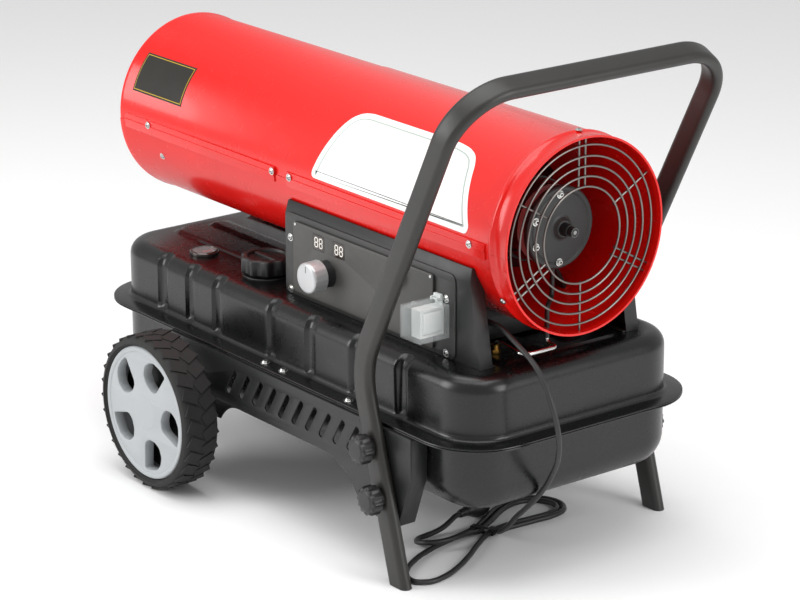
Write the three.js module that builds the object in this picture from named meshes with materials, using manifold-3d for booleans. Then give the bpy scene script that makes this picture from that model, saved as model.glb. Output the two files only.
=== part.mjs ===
// Wheeled forced air heater: a fuel tank on two wheels and a bent tube frame carries a saddle,
// and the saddle carries a round heating tunnel with a fan and motor at its open intake end.
// Millimetres. +X points to the intake and handle end, -Y is the side with the controls, +Z is up.
// Z is 0 on the floor, Y is 0 on the centre plane, and X is 0 midway between the outlet and the handle.

import * as THREE from 'three';
import { mergeVertices } from 'three/addons/utils/BufferGeometryUtils.js';
import Module from 'manifold-3d';

const wasm = await Module();
wasm.setup();

// ---------------------------------------------------------------- driving dimensions

const gap = 0.3;                 // clearance between pieces that seat on or turn in each other
const sheet = 2;                 // pressed steel of the tunnel and the saddle

const tunnel = {
  backX: -525, frontX: 485,      // outlet end and intake end
  axisZ: 522,
  radius: 149,
  seamX: -50,                    // where the front shell meets the rear shell
  frontStep: 1.2,                // the front shell is this much smaller in radius
  splitZ: 515,                   // the upper shells sit on the lower shell here
  bandHeight: 24, bandDepth: 3,  // band along each side where the shells overlap
  bandCut: 32,                   // the bands stop this far short of the seam and the intake
  beadX: 451, beadWidth: 16, beadRise: 3,
  lipWidth: 7, lipRise: 1.5,
  facets: 36,
};

const tank = {
  backX: -468, frontX: 479, halfWidth: 207, cornerRadius: 72,
  topZ: 334, seamZ: 235, bottomZ: 120,
  topRound: 25, bottomRound: 50, wall: 2,
  flange: 28, flangeSheet: 3,
  axleChannel: 14,               // half width of the channel across the bottom that clears the axle
  padRise: 4, padHalfWidth: 117, padInset: 40,
  ridgeRise: 4, ridgeHalfWidth: 56, ridgeTrough: 20,
  grooveDepth: 5, grooveWidth: 26,
  grooveX: [-323, -244, -168, -17, 84, 198, 313],
};

const filler = { x: -137, y: -128, neckRadius: 27, neckWall: 3, neckHeight: 18, capRadius: 43, capHeight: 28 };
const gauge = { x: -289, y: -146, radius: 24, height: 7, floatArm: 84, emptyDrop: 38 };
const drain = { x: 395, y: -55, radius: 9, height: 13 };

const wheel = {
  x: -194, radius: 127, width: 66, outerY: 336, rimRadius: 109, axleRadius: 8, facets: 26,
  windows: 5,                    // each has one straight side and one curved side
  windowAngle: 50,               // of the straight side of the first one
  window: [[53, 0], [98, 0], [97, 25], [80, 40], [60, 43], [43, 18]],
};

const bracket = {
  backX: -252, frontX: 381, sheet: 3,
  slotCount: 10, slotPitch: 35.5, slotX: 240.5, slotZ: 192, slotTilt: 32, slotRadius: 5.2, slotLength: 50,
};

const frame = {
  wide: 40, thick: 20,           // flat oval tube
  halfWidth: 252,                // tube centre from the centre plane
  footX: 371,                    // centre of the tube at the floor
  kneeX: 276, kneeZ: 319, kneeRadius: 125,
  topZ: 774, lean: 0.506,        // the upper part leans this far along X for each unit of height
  cornerRadius: 88,
};

const knob = { radius: 23, length: 26, lobes: 12, boltRadius: 4, heights: [131, 205] };

const saddle = {
  backX: -48, frontTopX: 406, frontX: 434, halfWidth: tunnel.radius + 5,
  shoulderZ: 462, topZ: 482, topHalfWidth: tunnel.radius - 1.4,
  turnIn: 24, footWidth: 30,
  cradleX: [24, 352], cradleSheet: 3,
};

const cover = { backX: -46, frontX: 378, topZ: 466, sheet: 2, cornerRadius: 12 };
const panel = { backX: -20, frontX: 330, bottomZ: 342, topZ: 456, rise: 4 };
const display = { x: [47, 99], z: 436, width: 29, height: 25 };
const dial = { x: 71, z: 393, baseRadius: 21, baseLength: 16, radius: 25, length: 26 };
const resetCap = { x: 250, z: 434, radius: 14, length: 13 };
const powerSwitch = { backX: 331, width: 21, height: 43, depth: 44, z: 392, rockerRise: 7 };
const splashCover = { backX: 323, frontX: 370, lowZ: 370, highZ: 420, depth: 55, wall: 1.6 };

const motor = { backX: 292, frontX: 402, radius: 62, shaftRadius: 7, shaftBackX: 222, shaftFrontX: 462, facets: 20 };
const pump = { frontX: 430, radius: 60, coverSheet: 10, screwRadius: 52 };
const fan = { x: 250, hubRadius: 28, hubLength: 34, tipRadius: tunnel.radius - 17, blades: 5, pitch: 32, sheet: 2.5 };
const guard = { x: 476, wire: 1.7, rings: [0.487, 0.59, 0.692, 0.793, 0.906], spokeHalfGap: 6 };
const chamber = { backX: -500, frontX: 110, radius: 106, sheet: 2 };
const burner = { radius: 46, length: 46, nozzleRadius: 9, nozzleLength: 28 };

const cord = { radius: 4.2, sides: 7 };

// ---------------------------------------------------------------- materials

const paint = (name, color, roughness, metalness = 0) => {
  const material = new THREE.MeshStandardMaterial({ color, roughness, metalness });
  material.name = name;
  return material;
};

const redPaint = paint('red enamel', 0xc8170f, 0.25);
const blackPaint = paint('black enamel', 0x1b1c1d, 0.4);
const greyPaint = paint('grey enamel', 0x3a3b3b, 0.5);
const framePaint = paint('frame enamel', 0x333230, 0.42);
const steel = paint('bare steel', 0x9c9d9b, 0.38, 0.9);
const chrome = paint('bright wire', 0xc9c9c6, 0.2, 1);
const aluminium = paint('aluminium', 0xc2c3c4, 0.35, 0.9);
const brass = paint('brass', 0xb08a45, 0.35, 1);
const rubber = paint('tyre rubber', 0x2c2b29, 0.85);
const wheelPlastic = paint('wheel plastic', 0xb9bcbd, 0.5);
const blackPlastic = paint('black plastic', 0x222221, 0.55);
const palePlastic = paint('pale plastic', 0xd7dcda, 0.45);
const clearPlastic = paint('clear plastic', 0xdfe6e6, 0.12);
const cordJacket = paint('cord jacket', 0x2a2828, 0.6);

// ---------------------------------------------------------------- shape helpers

const object = new THREE.Group();

// A closed triangle mesh as a solid that can be joined and cut.
function toSolid(geometry) {
  const bare = geometry.clone();
  for (const name of Object.keys(bare.attributes)) {
    if (name !== 'position') bare.deleteAttribute(name);
  }
  const merged = mergeVertices(bare, 1e-4);
  return new wasm.Manifold(new wasm.Mesh({
    numProp: 3,
    vertProperties: new Float32Array(merged.attributes.position.array),
    triVerts: new Uint32Array(merged.index.array),
  }));
}

function toGeometry(solid) {
  const mesh = solid.getMesh();
  const geometry = new THREE.BufferGeometry();
  geometry.setAttribute('position', new THREE.Float32BufferAttribute(mesh.vertProperties, 3));
  geometry.setIndex(new THREE.Uint32BufferAttribute(mesh.triVerts, 1));
  geometry.computeVertexNormals();
  return geometry;
}

const join = (...solids) => solids.reduce((sum, solid) => sum.add(solid));
const cut = (solid, ...tools) => tools.reduce((rest, tool) => rest.subtract(tool), solid);
const common = (first, second) => first.intersect(second);

function add(name, shape, material) {
  const geometry = shape.isBufferGeometry ? shape : toGeometry(shape);
  const mesh = new THREE.Mesh(geometry, material);
  mesh.name = name;
  object.add(mesh);
}

// Box from its low corner to its high corner.
function block(low, high) {
  const size = high.map((value, i) => value - low[i]);
  const geometry = new THREE.BoxGeometry(...size);
  return toSolid(geometry.translate(...low.map((value, i) => value + size[i] / 2)));
}

// Turns a shape whose axis is +Y so that its axis is X, Y or Z, pointing to the positive end.
function alongAxis(geometry, axis) {
  if (axis === 'x') geometry.rotateZ(-Math.PI / 2);
  if (axis === 'z') geometry.rotateX(Math.PI / 2);
  return geometry;
}

// Round bar from one point for a length along an axis.
function bar(axis, start, length, radius, sides = 24) {
  const geometry = new THREE.CylinderGeometry(radius, radius, length, sides);
  geometry.translate(0, length / 2, 0);
  return toSolid(alongAxis(geometry, axis).translate(...start));
}

// Turned shape: profile pairs are [radius, distance along the axis] and close on themselves.
function turned(axis, origin, profile, sides = 32) {
  const points = profile.map(([radius, along]) => new THREE.Vector2(radius, along));
  if (profile[0][0] > 0) points.push(points[0].clone());
  const geometry = new THREE.LatheGeometry(points, sides);
  const solid = toSolid(alongAxis(geometry, axis).translate(...origin));
  return solid.volume() < 0 ? toSolid(flipped(geometry)) : solid;
}

function flipped(geometry) {
  const index = geometry.index.array;
  for (let i = 0; i < index.length; i += 3) [index[i], index[i + 1]] = [index[i + 1], index[i]];
  return geometry;
}

function ring(axis, origin, inner, outer, length, sides = 32) {
  return turned(axis, origin, [[inner, 0], [outer, 0], [outer, length], [inner, length]], sides);
}

function roundedRectangle(lowX, lowY, highX, highY, radius) {
  const shape = new THREE.Shape();
  shape.moveTo(lowX + radius, lowY);
  shape.lineTo(highX - radius, lowY);
  shape.absarc(highX - radius, lowY + radius, radius, -Math.PI / 2, 0);
  shape.lineTo(highX, highY - radius);
  shape.absarc(highX - radius, highY - radius, radius, 0, Math.PI / 2);
  shape.lineTo(lowX + radius, highY);
  shape.absarc(lowX + radius, highY - radius, radius, Math.PI / 2, Math.PI);
  shape.lineTo(lowX, lowY + radius);
  shape.absarc(lowX + radius, lowY + radius, radius, Math.PI, Math.PI * 1.5);
  return shape;
}

// Outline in X and Y pulled up from lowZ to highZ.
function slab(shape, lowZ, highZ, curveSegments = 6) {
  const geometry = new THREE.ExtrudeGeometry(shape, { depth: highZ - lowZ, bevelEnabled: false, curveSegments });
  return toSolid(geometry.translate(0, 0, lowZ));
}

// Outline in X and Z (shape x and y), from lowY to highY.
function plate(shape, lowY, highY, curveSegments = 6) {
  const geometry = new THREE.ExtrudeGeometry(shape, { depth: highY - lowY, bevelEnabled: false, curveSegments });
  return toSolid(geometry.rotateX(Math.PI / 2).translate(0, highY, 0));
}

function outline(points) {
  return new THREE.Shape(points.map(([x, y]) => new THREE.Vector2(x, y)));
}

// A route that bends only at the points it is given.
class Route extends THREE.Curve {
  constructor(points) {
    super();
    this.points = points;
  }

  getPoint(t, target = new THREE.Vector3()) {
    const place = t * (this.points.length - 1);
    const i = Math.min(Math.floor(place + 1e-6), this.points.length - 2);
    return target.lerpVectors(this.points[i], this.points[i + 1], place - i);
  }

  getPointAt(u, target) {
    return this.getPoint(u, target);
  }

  getTangent(t, target = new THREE.Vector3()) {
    const i = Math.round(t * (this.points.length - 1));
    const before = this.points[Math.max(i - 1, 0)];
    const here = this.points[i];
    const after = this.points[Math.min(i + 1, this.points.length - 1)];
    const arriving = here.clone().sub(before).normalize();
    const leaving = after.clone().sub(here).normalize();
    return target.addVectors(arriving, leaving).normalize();
  }

  getTangentAt(u, target) {
    return this.getTangent(u, target);
  }
}

function sweep(section, points) {
  const steps = points.length - 1;
  return new THREE.ExtrudeGeometry(section, { steps, extrudePath: new Route(points), bevelEnabled: false });
}

function roundSection(radius, sides) {
  const turns = Array.from({ length: sides }, (unused, i) => (i * 2 * Math.PI) / sides);
  return outline(turns.map((a) => [radius * Math.cos(a), radius * Math.sin(a)]));
}

// Corner points of a route with each inner corner rounded by its own radius.
function roundedRoute(corners, radii, stepAngle = 12) {
  const points = [corners[0].clone()];
  for (let i = 1; i < corners.length - 1; i += 1) {
    const incoming = corners[i].clone().sub(corners[i - 1]).normalize();
    const outgoing = corners[i + 1].clone().sub(corners[i]).normalize();
    const angle = incoming.angleTo(outgoing);
    const reach = radii[i - 1] * Math.tan(angle / 2);
    const start = corners[i].clone().addScaledVector(incoming, -reach);
    const side = outgoing.clone().addScaledVector(incoming, -outgoing.dot(incoming)).normalize();
    const centre = start.clone().addScaledVector(side, radii[i - 1]);
    const steps = Math.max(2, Math.ceil(THREE.MathUtils.radToDeg(angle) / stepAngle));
    for (let k = 0; k <= steps; k += 1) {
      const a = (angle * k) / steps;
      points.push(centre.clone()
        .addScaledVector(side, -radii[i - 1] * Math.cos(a))
        .addScaledVector(incoming, radii[i - 1] * Math.sin(a)));
    }
  }
  points.push(corners[corners.length - 1].clone());
  return points;
}

const vector = (x, y, z) => new THREE.Vector3(x, y, z);
const mirrorY = (solid) => solid.mirror([0, 1, 0]);
const everywhere = 2000;
const below = (z) => block([-everywhere, -everywhere, -everywhere], [everywhere, everywhere, z]);
const above = (z) => block([-everywhere, -everywhere, z], [everywhere, everywhere, everywhere]);

// ---------------------------------------------------------------- fuel tank

// The pressed tank body without its flange, shrunk by inset.
function tankBody(inset, extraSide, roundTop, roundBottom, curveSegments = 3, bevelSegments = 3) {
  const round = Math.max(roundTop, roundBottom) - inset;
  const lowZ = tank.bottomZ + inset;
  const highZ = tank.topZ - inset;
  const side = tank.halfWidth - inset - extraSide;
  const shape = roundedRectangle(
    tank.backX + inset + round, -side + round, tank.frontX - inset - round, side - round,
    tank.cornerRadius - inset - round);
  const geometry = new THREE.ExtrudeGeometry(shape, {
    depth: highZ - lowZ - 2 * round, curveSegments,
    bevelEnabled: true, bevelThickness: round, bevelSize: round, bevelSegments,
  });
  return toSolid(geometry.translate(0, 0, lowZ + round));
}

// The upper pressing with a shallow groove up each side at every groove station.
function tankUpperForm() {
  const half = tank.grooveWidth / 2;
  const innerY = tank.halfWidth - tank.grooveDepth;
  const grooves = tank.grooveX.flatMap((x) => [
    block([x - half, -everywhere, tank.seamZ - 1], [x + half, -innerY, everywhere]),
    block([x - half, innerY, tank.seamZ - 1], [x + half, everywhere, everywhere]),
  ]);
  return cut(tankBody(0, 0, tank.topRound, 0), ...grooves);
}

function flangeSheet(lowZ) {
  const reach = tank.flange;
  const shape = roundedRectangle(
    tank.backX - reach, -tank.halfWidth - reach - 2, tank.frontX + reach, tank.halfWidth + reach + 2,
    tank.cornerRadius + reach);
  return slab(shape, lowZ, lowZ + tank.flangeSheet, 4);
}

// Raised pad and ridges pressed into the top.
function tankTopPressing() {
  const lowX = tank.backX + tank.padInset;
  const highX = tank.frontX - tank.padInset;
  const padTop = tank.topZ + tank.padRise;
  const pad = slab(roundedRectangle(lowX, -tank.padHalfWidth, highX, tank.padHalfWidth, 20),
    tank.topZ - tank.wall, padTop, 1);
  const clearing = bar('z', [filler.x, filler.y, tank.topZ], 40, filler.capRadius + 6, 14);
  const ridge = (low, high) => slab(roundedRectangle(lowX + 18, low, highX - 18, high, 10),
    tank.topZ - tank.wall, padTop + tank.ridgeRise, 1);
  return cut(join(pad, ridge(-tank.ridgeHalfWidth, -tank.ridgeTrough), ridge(tank.ridgeTrough, tank.ridgeHalfWidth)), clearing);
}

const flangeTop = tank.seamZ + tank.flangeSheet;
const flangeLow = tank.seamZ - tank.flangeSheet;
const pickup = { x: 392, y: -92, radius: 5 };
const flangeScrewX = [36, 205];
const flangeScrewY = tank.halfWidth + tank.flange / 2 + 1;
const screwRadius = 3;

function headedScrew(axis, point, direction, headRadius, shank) {
  const head = turned('z', [0, 0, 0], [
    [0, 0], [headRadius, 0], [headRadius * 0.85, headRadius * 0.5], [0, headRadius * 0.6],
  ], 8);
  const body = bar('z', [0, 0, -shank], shank + 0.2, screwRadius - 0.3, 6);
  const turns = { x: [0, 90 * direction, 0], y: [-90 * direction, 0, 0], z: [direction > 0 ? 0 : 180, 0, 0] };
  return join(head, body).rotate(turns[axis]).translate(point);
}

function flangeScrews() {
  return join(...flangeScrewX.flatMap((x) => [-1, 1].map((side) => (
    headedScrew('z', [x, side * flangeScrewY, flangeTop], 1, 6, 1)))));
}

function tankUpper() {
  const outer = join(common(tankUpperForm(), above(tank.seamZ)), flangeSheet(tank.seamZ), tankTopPressing());
  const inner = tankBody(tank.wall, tank.grooveDepth, tank.topRound, 0, 2, 2);
  const holes = join(
    bar('z', [filler.x, filler.y, tank.seamZ], 200, filler.neckRadius - filler.neckWall, 20),
    bar('z', [gauge.x, gauge.y, tank.seamZ], 200, gauge.radius - 8, 16),
    bar('z', [pickup.x, pickup.y, tank.seamZ], 200, pickup.radius + gap, 12));
  return join(cut(outer, inner, holes), flangeScrews());
}

function tankLower() {
  const outer = join(common(tankBody(0, 0, 0, tank.bottomRound), below(tank.seamZ)), flangeSheet(flangeLow));
  const inner = tankBody(tank.wall, 0, 0, tank.bottomRound, 2, 2);
  const drainHole = bar('z', [drain.x, drain.y, tank.bottomZ - 1], 10, drain.radius - 3 + gap, 12);
  const channel = (wall) => block([wheel.x - tank.axleChannel - wall, -everywhere, tank.bottomZ - 10],
    [wheel.x + tank.axleChannel + wall, everywhere, wheel.radius + tank.axleChannel + wall]);
  return cut(outer, cut(inner, channel(tank.wall)), channel(0), drainHole);
}

add('tank_upper', tankUpper(), blackPaint);
add('tank_lower', tankLower(), blackPaint);

// Filler neck with its strainer basket and lobed screw cap.
const neckTopZ = tank.topZ + filler.neckHeight;
const neckFlangeSheet = 2;
add('filler_neck', turned('z', [filler.x, filler.y, tank.topZ], [
  [filler.neckRadius - filler.neckWall, 0], [filler.neckRadius + 8, 0],
  [filler.neckRadius + 8, neckFlangeSheet], [filler.neckRadius, neckFlangeSheet],
  [filler.neckRadius, filler.neckHeight], [filler.neckRadius - filler.neckWall, filler.neckHeight],
], 20), blackPlastic);

const strainer = {
  radius: filler.neckRadius - filler.neckWall - gap, rim: filler.neckRadius, depth: 74, wall: 1.6, slots: 4,
};

function strainerBasket() {
  const floorZ = neckTopZ - strainer.depth;
  const basket = turned('z', [filler.x, filler.y, floorZ], [
    [0, 0], [strainer.radius, 0], [strainer.radius, strainer.depth + gap], [strainer.rim, strainer.depth + gap],
    [strainer.rim, strainer.depth + gap + strainer.wall], [strainer.radius - strainer.wall, strainer.depth + gap + strainer.wall],
    [strainer.radius - strainer.wall, strainer.wall], [0, strainer.wall],
  ], 16);
  const slot = block([-strainer.rim, -3, floorZ + 8], [strainer.rim, 3, neckTopZ - filler.neckHeight - 12]);
  const slots = Array.from({ length: strainer.slots / 2 }, (unused, i) => (
    slot.rotate([0, 0, (i * 360) / strainer.slots]).translate([filler.x, filler.y, 0])));
  return cut(basket, ...slots);
}

add('fuel_strainer', strainerBasket(), brass);

const capLowZ = tank.topZ + neckFlangeSheet + 2;

function lobedOutline(radius, lobes, dip, points) {
  const count = lobes * points;
  const corners = Array.from({ length: count }, (unused, i) => {
    const a = (i * 2 * Math.PI) / count;
    const r = radius - dip * (1 - Math.cos(lobes * a)) / 2;
    return [r * Math.cos(a), r * Math.sin(a)];
  });
  return outline(corners);
}

function fuelCap() {
  const highZ = capLowZ + filler.capHeight;
  const body = slab(lobedOutline(filler.capRadius, 10, 4, 3), 0, filler.capHeight).translate([filler.x, filler.y, capLowZ]);
  const bore = bar('z', [filler.x, filler.y, capLowZ - 1], neckTopZ + strainer.wall + 2 * gap + 0.6 - capLowZ + 1,
    filler.neckRadius + gap + 0.3, 20);
  const recess = ring('z', [filler.x, filler.y, highZ - 5], 9, 30, 6, 20);
  const grip = block([filler.x - 29, filler.y - 5, highZ - 6], [filler.x + 29, filler.y + 5, highZ - 1]);
  return join(cut(body, bore, recess), grip);
}

add('fuel_cap', fuelCap(), blackPlastic);

// Round fuel gauge: a bezel on the tank, a float on an arm inside, and a needle geared to the arm.
const gaugeTopZ = tank.topZ + gauge.height;
const needleZ = gaugeTopZ - 3.5;
const floatPivotZ = tank.topZ - 22;

function gaugeBody() {
  const bezel = turned('z', [gauge.x, gauge.y, tank.topZ], [
    [0, 0], [gauge.radius, 0], [gauge.radius, gauge.height - 1.5], [gauge.radius - 1.5, gauge.height],
    [gauge.radius - 4, gauge.height], [gauge.radius - 4, 2], [0, 2],
  ], 20);
  const stem = block([gauge.x - 4, gauge.y + 3, floatPivotZ - 5], [gauge.x + 4, gauge.y + 6, tank.topZ + 1]);
  return join(bezel, stem);
}

add('gauge_body', gaugeBody(), chrome);
add('gauge_lens', turned('z', [gauge.x, gauge.y, gaugeTopZ - 1.8], [
  [0, 0], [gauge.radius - 4 - gap, 0], [gauge.radius - 4 - gap, 1.2], [0, 1.8],
], 20), clearPlastic);

function gaugeNeedle() {
  const hub = bar('z', [gauge.x, gauge.y, tank.topZ + 2 + gap], needleZ - tank.topZ - 2, 2.6, 12);
  const blade = block([gauge.x - 1.2, gauge.y, needleZ - 1.2], [gauge.x + 1.2, gauge.y + gauge.radius - 8, needleZ - 0.2]);
  return join(hub, blade);
}

add('gauge_needle', gaugeNeedle(), redPaint);

function floatArm() {
  const armY = gauge.y - 1;
  const eye = bar('y', [gauge.x, armY - 2, floatPivotZ], 6 - gap, 4, 12);
  const rod = block([gauge.x, armY - 1.5, floatPivotZ - 1.5], [gauge.x + gauge.floatArm, armY + 1.5, floatPivotZ + 1.5]);
  const float = bar('y', [gauge.x + gauge.floatArm, armY - 16, floatPivotZ], 32, 15, 16);
  return join(eye, rod, float)
    .translate([-gauge.x, 0, -floatPivotZ]).rotate([0, gauge.emptyDrop, 0]).translate([gauge.x, 0, floatPivotZ]);
}

add('float_arm', floatArm(), blackPlastic);

function drainPlug() {
  const headLow = tank.bottomZ - gap - drain.height;
  const head = bar('z', [drain.x, drain.y, headLow], drain.height, drain.radius, 6);
  const shank = bar('z', [drain.x, drain.y, tank.bottomZ - gap - 1], 9, drain.radius - 3, 16);
  return join(head, shank);
}

add('drain_plug', drainPlug(), blackPlastic);

// ---------------------------------------------------------------- side brackets, axle and wheels

const bracketOuterY = frame.halfWidth - frame.thick / 2 - gap;
const bracketInnerY = bracketOuterY - bracket.sheet;
const bracketTopZ = flangeLow;

function legX(z) {
  return frame.footX + ((frame.kneeX - frame.footX) * z) / frame.kneeZ;
}

function sideBracket() {
  const shape = new THREE.Shape();
  shape.moveTo(bracket.backX, bracketTopZ);
  shape.lineTo(bracket.backX, 150);
  shape.lineTo(wheel.x - 24, wheel.radius - 8);
  shape.absarc(wheel.x, wheel.radius, 25, Math.PI * 1.1, Math.PI * 1.9);
  shape.lineTo(-112, 121);
  shape.quadraticCurveTo(-92, 151, -60, 151);
  shape.lineTo(168, 151);
  shape.quadraticCurveTo(222, 146, 244, 112);
  shape.quadraticCurveTo(262, 88, 292, 86);
  shape.lineTo(352, 86);
  shape.lineTo(bracket.frontX, 166);
  shape.lineTo(bracket.frontX, bracketTopZ);
  const web = plate(shape, -bracketOuterY, -bracketInnerY, 4);
  const topFlange = block([bracket.backX, -bracketInnerY - 1, bracketTopZ - bracket.sheet],
    [bracket.frontX, -tank.halfWidth - 3, bracketTopZ]);
  const endFlange = plate(outline([
    [352, 86], [bracket.frontX, 166], [bracket.frontX, bracketTopZ], [bracket.frontX - 3, bracketTopZ],
    [bracket.frontX - 3, 167], [349, 86],
  ]), -bracketOuterY, -tank.halfWidth - 3);
  const slotEnd = bracket.slotLength / 2;
  const slotOutline = outline([
    [-bracket.slotRadius, -slotEnd + 3], [0, -slotEnd], [bracket.slotRadius, -slotEnd + 3],
    [bracket.slotRadius, slotEnd - 3], [0, slotEnd], [-bracket.slotRadius, slotEnd - 3],
  ]);
  const slots = Array.from({ length: bracket.slotCount }, (unused, i) => {
    const x = bracket.slotX - i * bracket.slotPitch;
    const slot = plate(slotOutline, -bracketOuterY - 1, -bracketInnerY + 1);
    return slot.rotate([0, bracket.slotTilt, 0]).translate([x, 0, bracket.slotZ]);
  });
  const axleHole = bar('y', [wheel.x, -bracketOuterY - 1, wheel.radius], bracket.sheet + 2, wheel.axleRadius + gap, 12);
  const boltHoles = knob.heights.map((z) => (
    bar('y', [legX(z), -bracketOuterY - 1, z], bracket.sheet + 2, knob.boltRadius + gap, 8)));
  return cut(join(web, topFlange, endFlange), axleHole, ...slots, ...boltHoles);
}

const bracketLeft = sideBracket();
add('side_bracket_left', bracketLeft, blackPaint);
add('side_bracket_right', mirrorY(bracketLeft), blackPaint);

const axleEndY = wheel.outerY - 20;
add('axle', bar('y', [wheel.x, -axleEndY, wheel.radius], 2 * axleEndY, wheel.axleRadius, 20), steel);

function tyre(side) {
  const half = wheel.width / 2;
  const centreY = side * (wheel.outerY - half);
  const r = wheel.radius;
  return turned('y', [wheel.x, centreY, wheel.radius], [
    [wheel.rimRadius + gap, -half + 6], [wheel.rimRadius + 4, -half + 2], [r - 12, -half],
    [r - 4, -half + 4], [r, -half + 13], [r, half - 13], [r - 4, half - 4], [r - 12, half],
    [wheel.rimRadius + 4, half - 2], [wheel.rimRadius + gap, half - 6],
  ], wheel.facets);
}

function wheelDisc(side) {
  const half = wheel.width / 2;
  const r = wheel.rimRadius;
  const hubBore = wheel.axleRadius + gap;
  const dish = turned('y', [0, 0, 0], [
    [hubBore, -half + 2], [20, -half + 2], [20, half - 12], [r - 7, half - 12],
    [r - 7, -half + 8], [r, -half + 8], [r, half - 3], [r - 4, half], [0, half + 3],
    [0, half - 5], [hubBore, half - 5],
  ], wheel.facets);
  const corners = wheel.window.map(([reach, turn]) => {
    const a = ((wheel.windowAngle + turn) * Math.PI) / 180;
    return [reach * Math.cos(a), reach * Math.sin(a)];
  });
  const window = plate(outline(corners), -half * 2, half * 2);
  const windows = Array.from({ length: wheel.windows }, (unused, i) => (
    window.rotate([0, (i * 360) / wheel.windows, 0])));
  const disc = cut(dish, ...windows);
  const turnedDisc = side < 0 ? disc.mirror([0, 1, 0]) : disc;
  return turnedDisc.translate([wheel.x, side * (wheel.outerY - half - 3), wheel.radius]);
}

for (const [label, side] of [['left', -1], ['right', 1]]) {
  add(`tyre_${label}`, tyre(side), rubber);
  add(`wheel_${label}`, wheelDisc(side), wheelPlastic);
}

// ---------------------------------------------------------------- tube frame and its clamp knobs

const crossbarX = frame.kneeX + frame.lean * (frame.topZ - frame.kneeZ);

function tubeFrame() {
  const side = (sign) => [
    vector(frame.footX, sign * frame.halfWidth, 0),
    vector(frame.kneeX, sign * frame.halfWidth, frame.kneeZ),
    vector(crossbarX, sign * frame.halfWidth, frame.topZ),
  ];
  const corners = [...side(-1), ...side(1).reverse()];
  const radii = [frame.kneeRadius, frame.cornerRadius, frame.cornerRadius, frame.kneeRadius];
  const flatHalf = (frame.wide - frame.thick) / 2;
  const section = new THREE.Shape();
  const round = frame.thick / 2;
  section.absarc(0, flatHalf, round, 0, Math.PI);
  section.absarc(0, -flatHalf, round, Math.PI, 2 * Math.PI);
  const points = roundedRoute(corners, radii, 19);
  points[0].sub(points[1].clone().sub(points[0]).normalize().multiplyScalar(frame.wide / 2));
  const last = points.length - 1;
  points[last].sub(points[last - 1].clone().sub(points[last]).normalize().multiplyScalar(frame.wide / 2));
  const geometry = new THREE.ExtrudeGeometry(section, {
    steps: last, extrudePath: new Route(points), bevelEnabled: false, curveSegments: 3,
  });
  const holes = knob.heights.flatMap((z) => [-1, 1].map((sign) => (
    bar('y', [legX(z), sign * frame.halfWidth - frame.thick, z], 2 * frame.thick, knob.boltRadius + gap, 8))));
  return cut(toSolid(geometry), below(0), ...holes);
}

add('tube_frame', tubeFrame(), framePaint);

function clampKnob(z) {
  const outerY = frame.halfWidth + frame.thick / 2 + gap;
  const head = plate(lobedOutline(knob.radius, knob.lobes, 2.4, 2), -outerY - knob.length, -outerY - 5);
  const collar = bar('y', [0, -outerY - 5.5, 0], 5.5, knob.radius * 0.62, 12);
  const cap = bar('y', [0, -outerY - knob.length - 1.5, 0], 2, knob.radius * 0.72, 12);
  const bolt = bar('y', [0, -outerY - 2, 0], outerY + 2 - bracketInnerY + 6, knob.boltRadius, 12);
  return join(head, collar, cap, bolt).translate([legX(z), 0, z]);
}

for (const [i, level] of ['lower', 'upper'].entries()) {
  const left = clampKnob(knob.heights[i]);
  add(`clamp_knob_${level}_left`, left, blackPlastic);
  add(`clamp_knob_${level}_right`, mirrorY(left), blackPlastic);
}

// ---------------------------------------------------------------- tunnel shells

// Ring of the tunnel wall between two stations, with its outer surface at radius.
function tunnelWall(lowX, highX, radius, bead, lip) {
  const profile = [[radius - sheet, 0], [radius - sheet, highX - lowX]];
  const outer = [[radius, highX - lowX]];
  if (bead) {
    const middle = tunnel.beadX - lowX;
    outer.push([radius, middle + tunnel.beadWidth / 2], [radius + tunnel.beadRise, middle + 3],
      [radius + tunnel.beadRise, middle - 3], [radius, middle - tunnel.beadWidth / 2]);
  }
  if (lip) {
    outer.push([radius, tunnel.lipWidth + 2], [radius + tunnel.lipRise, tunnel.lipWidth],
      [radius + tunnel.lipRise, 0]);
  } else {
    outer.push([radius, 0]);
  }
  return turned('x', [lowX, 0, tunnel.axisZ], [...profile, ...outer].reverse(), tunnel.facets);
}

function sideBands(lowX, highX, radius) {
  const lowZ = tunnel.splitZ - tunnel.bandHeight / 2;
  const slice = (from, to) => block([lowX, -everywhere, from], [highX, everywhere, to]);
  const outerRadius = tunnel.radius + tunnel.bandDepth;
  const skirt = ring('x', [lowX, 0, tunnel.axisZ], tunnel.radius + gap, outerRadius, highX - lowX, tunnel.facets);
  const root = ring('x', [lowX, 0, tunnel.axisZ], radius - 1, outerRadius, highX - lowX, tunnel.facets);
  return join(common(skirt, slice(lowZ, tunnel.splitZ + 1)),
    common(root, slice(tunnel.splitZ, tunnel.splitZ + tunnel.bandHeight / 2)));
}

const bandScrewY = tunnel.radius + tunnel.bandDepth;

function shellScrews(places) {
  return join(...places.flatMap((x) => [-1, 1].map((side) => (
    headedScrew('y', [x, side * (bandScrewY - 0.5), tunnel.splitZ + 5], side, 5.5, 1)))));
}

const frontShellRadius = tunnel.radius - tunnel.frontStep;

function frontShell() {
  const wall = common(tunnelWall(tunnel.backX, tunnel.seamX - gap, frontShellRadius, false, true), above(tunnel.splitZ + gap));
  const bands = sideBands(tunnel.backX + 16, tunnel.seamX - tunnel.bandCut, frontShellRadius);
  return join(wall, bands, shellScrews([-438, -86]));
}

function rearShell() {
  const wall = common(tunnelWall(tunnel.seamX, tunnel.frontX, tunnel.radius, true, false), above(tunnel.splitZ + gap));
  const bands = sideBands(tunnel.seamX, tunnel.frontX - 1.5 * tunnel.bandCut, tunnel.radius);
  return join(wall, bands, shellScrews([-40, 404]));
}

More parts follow.
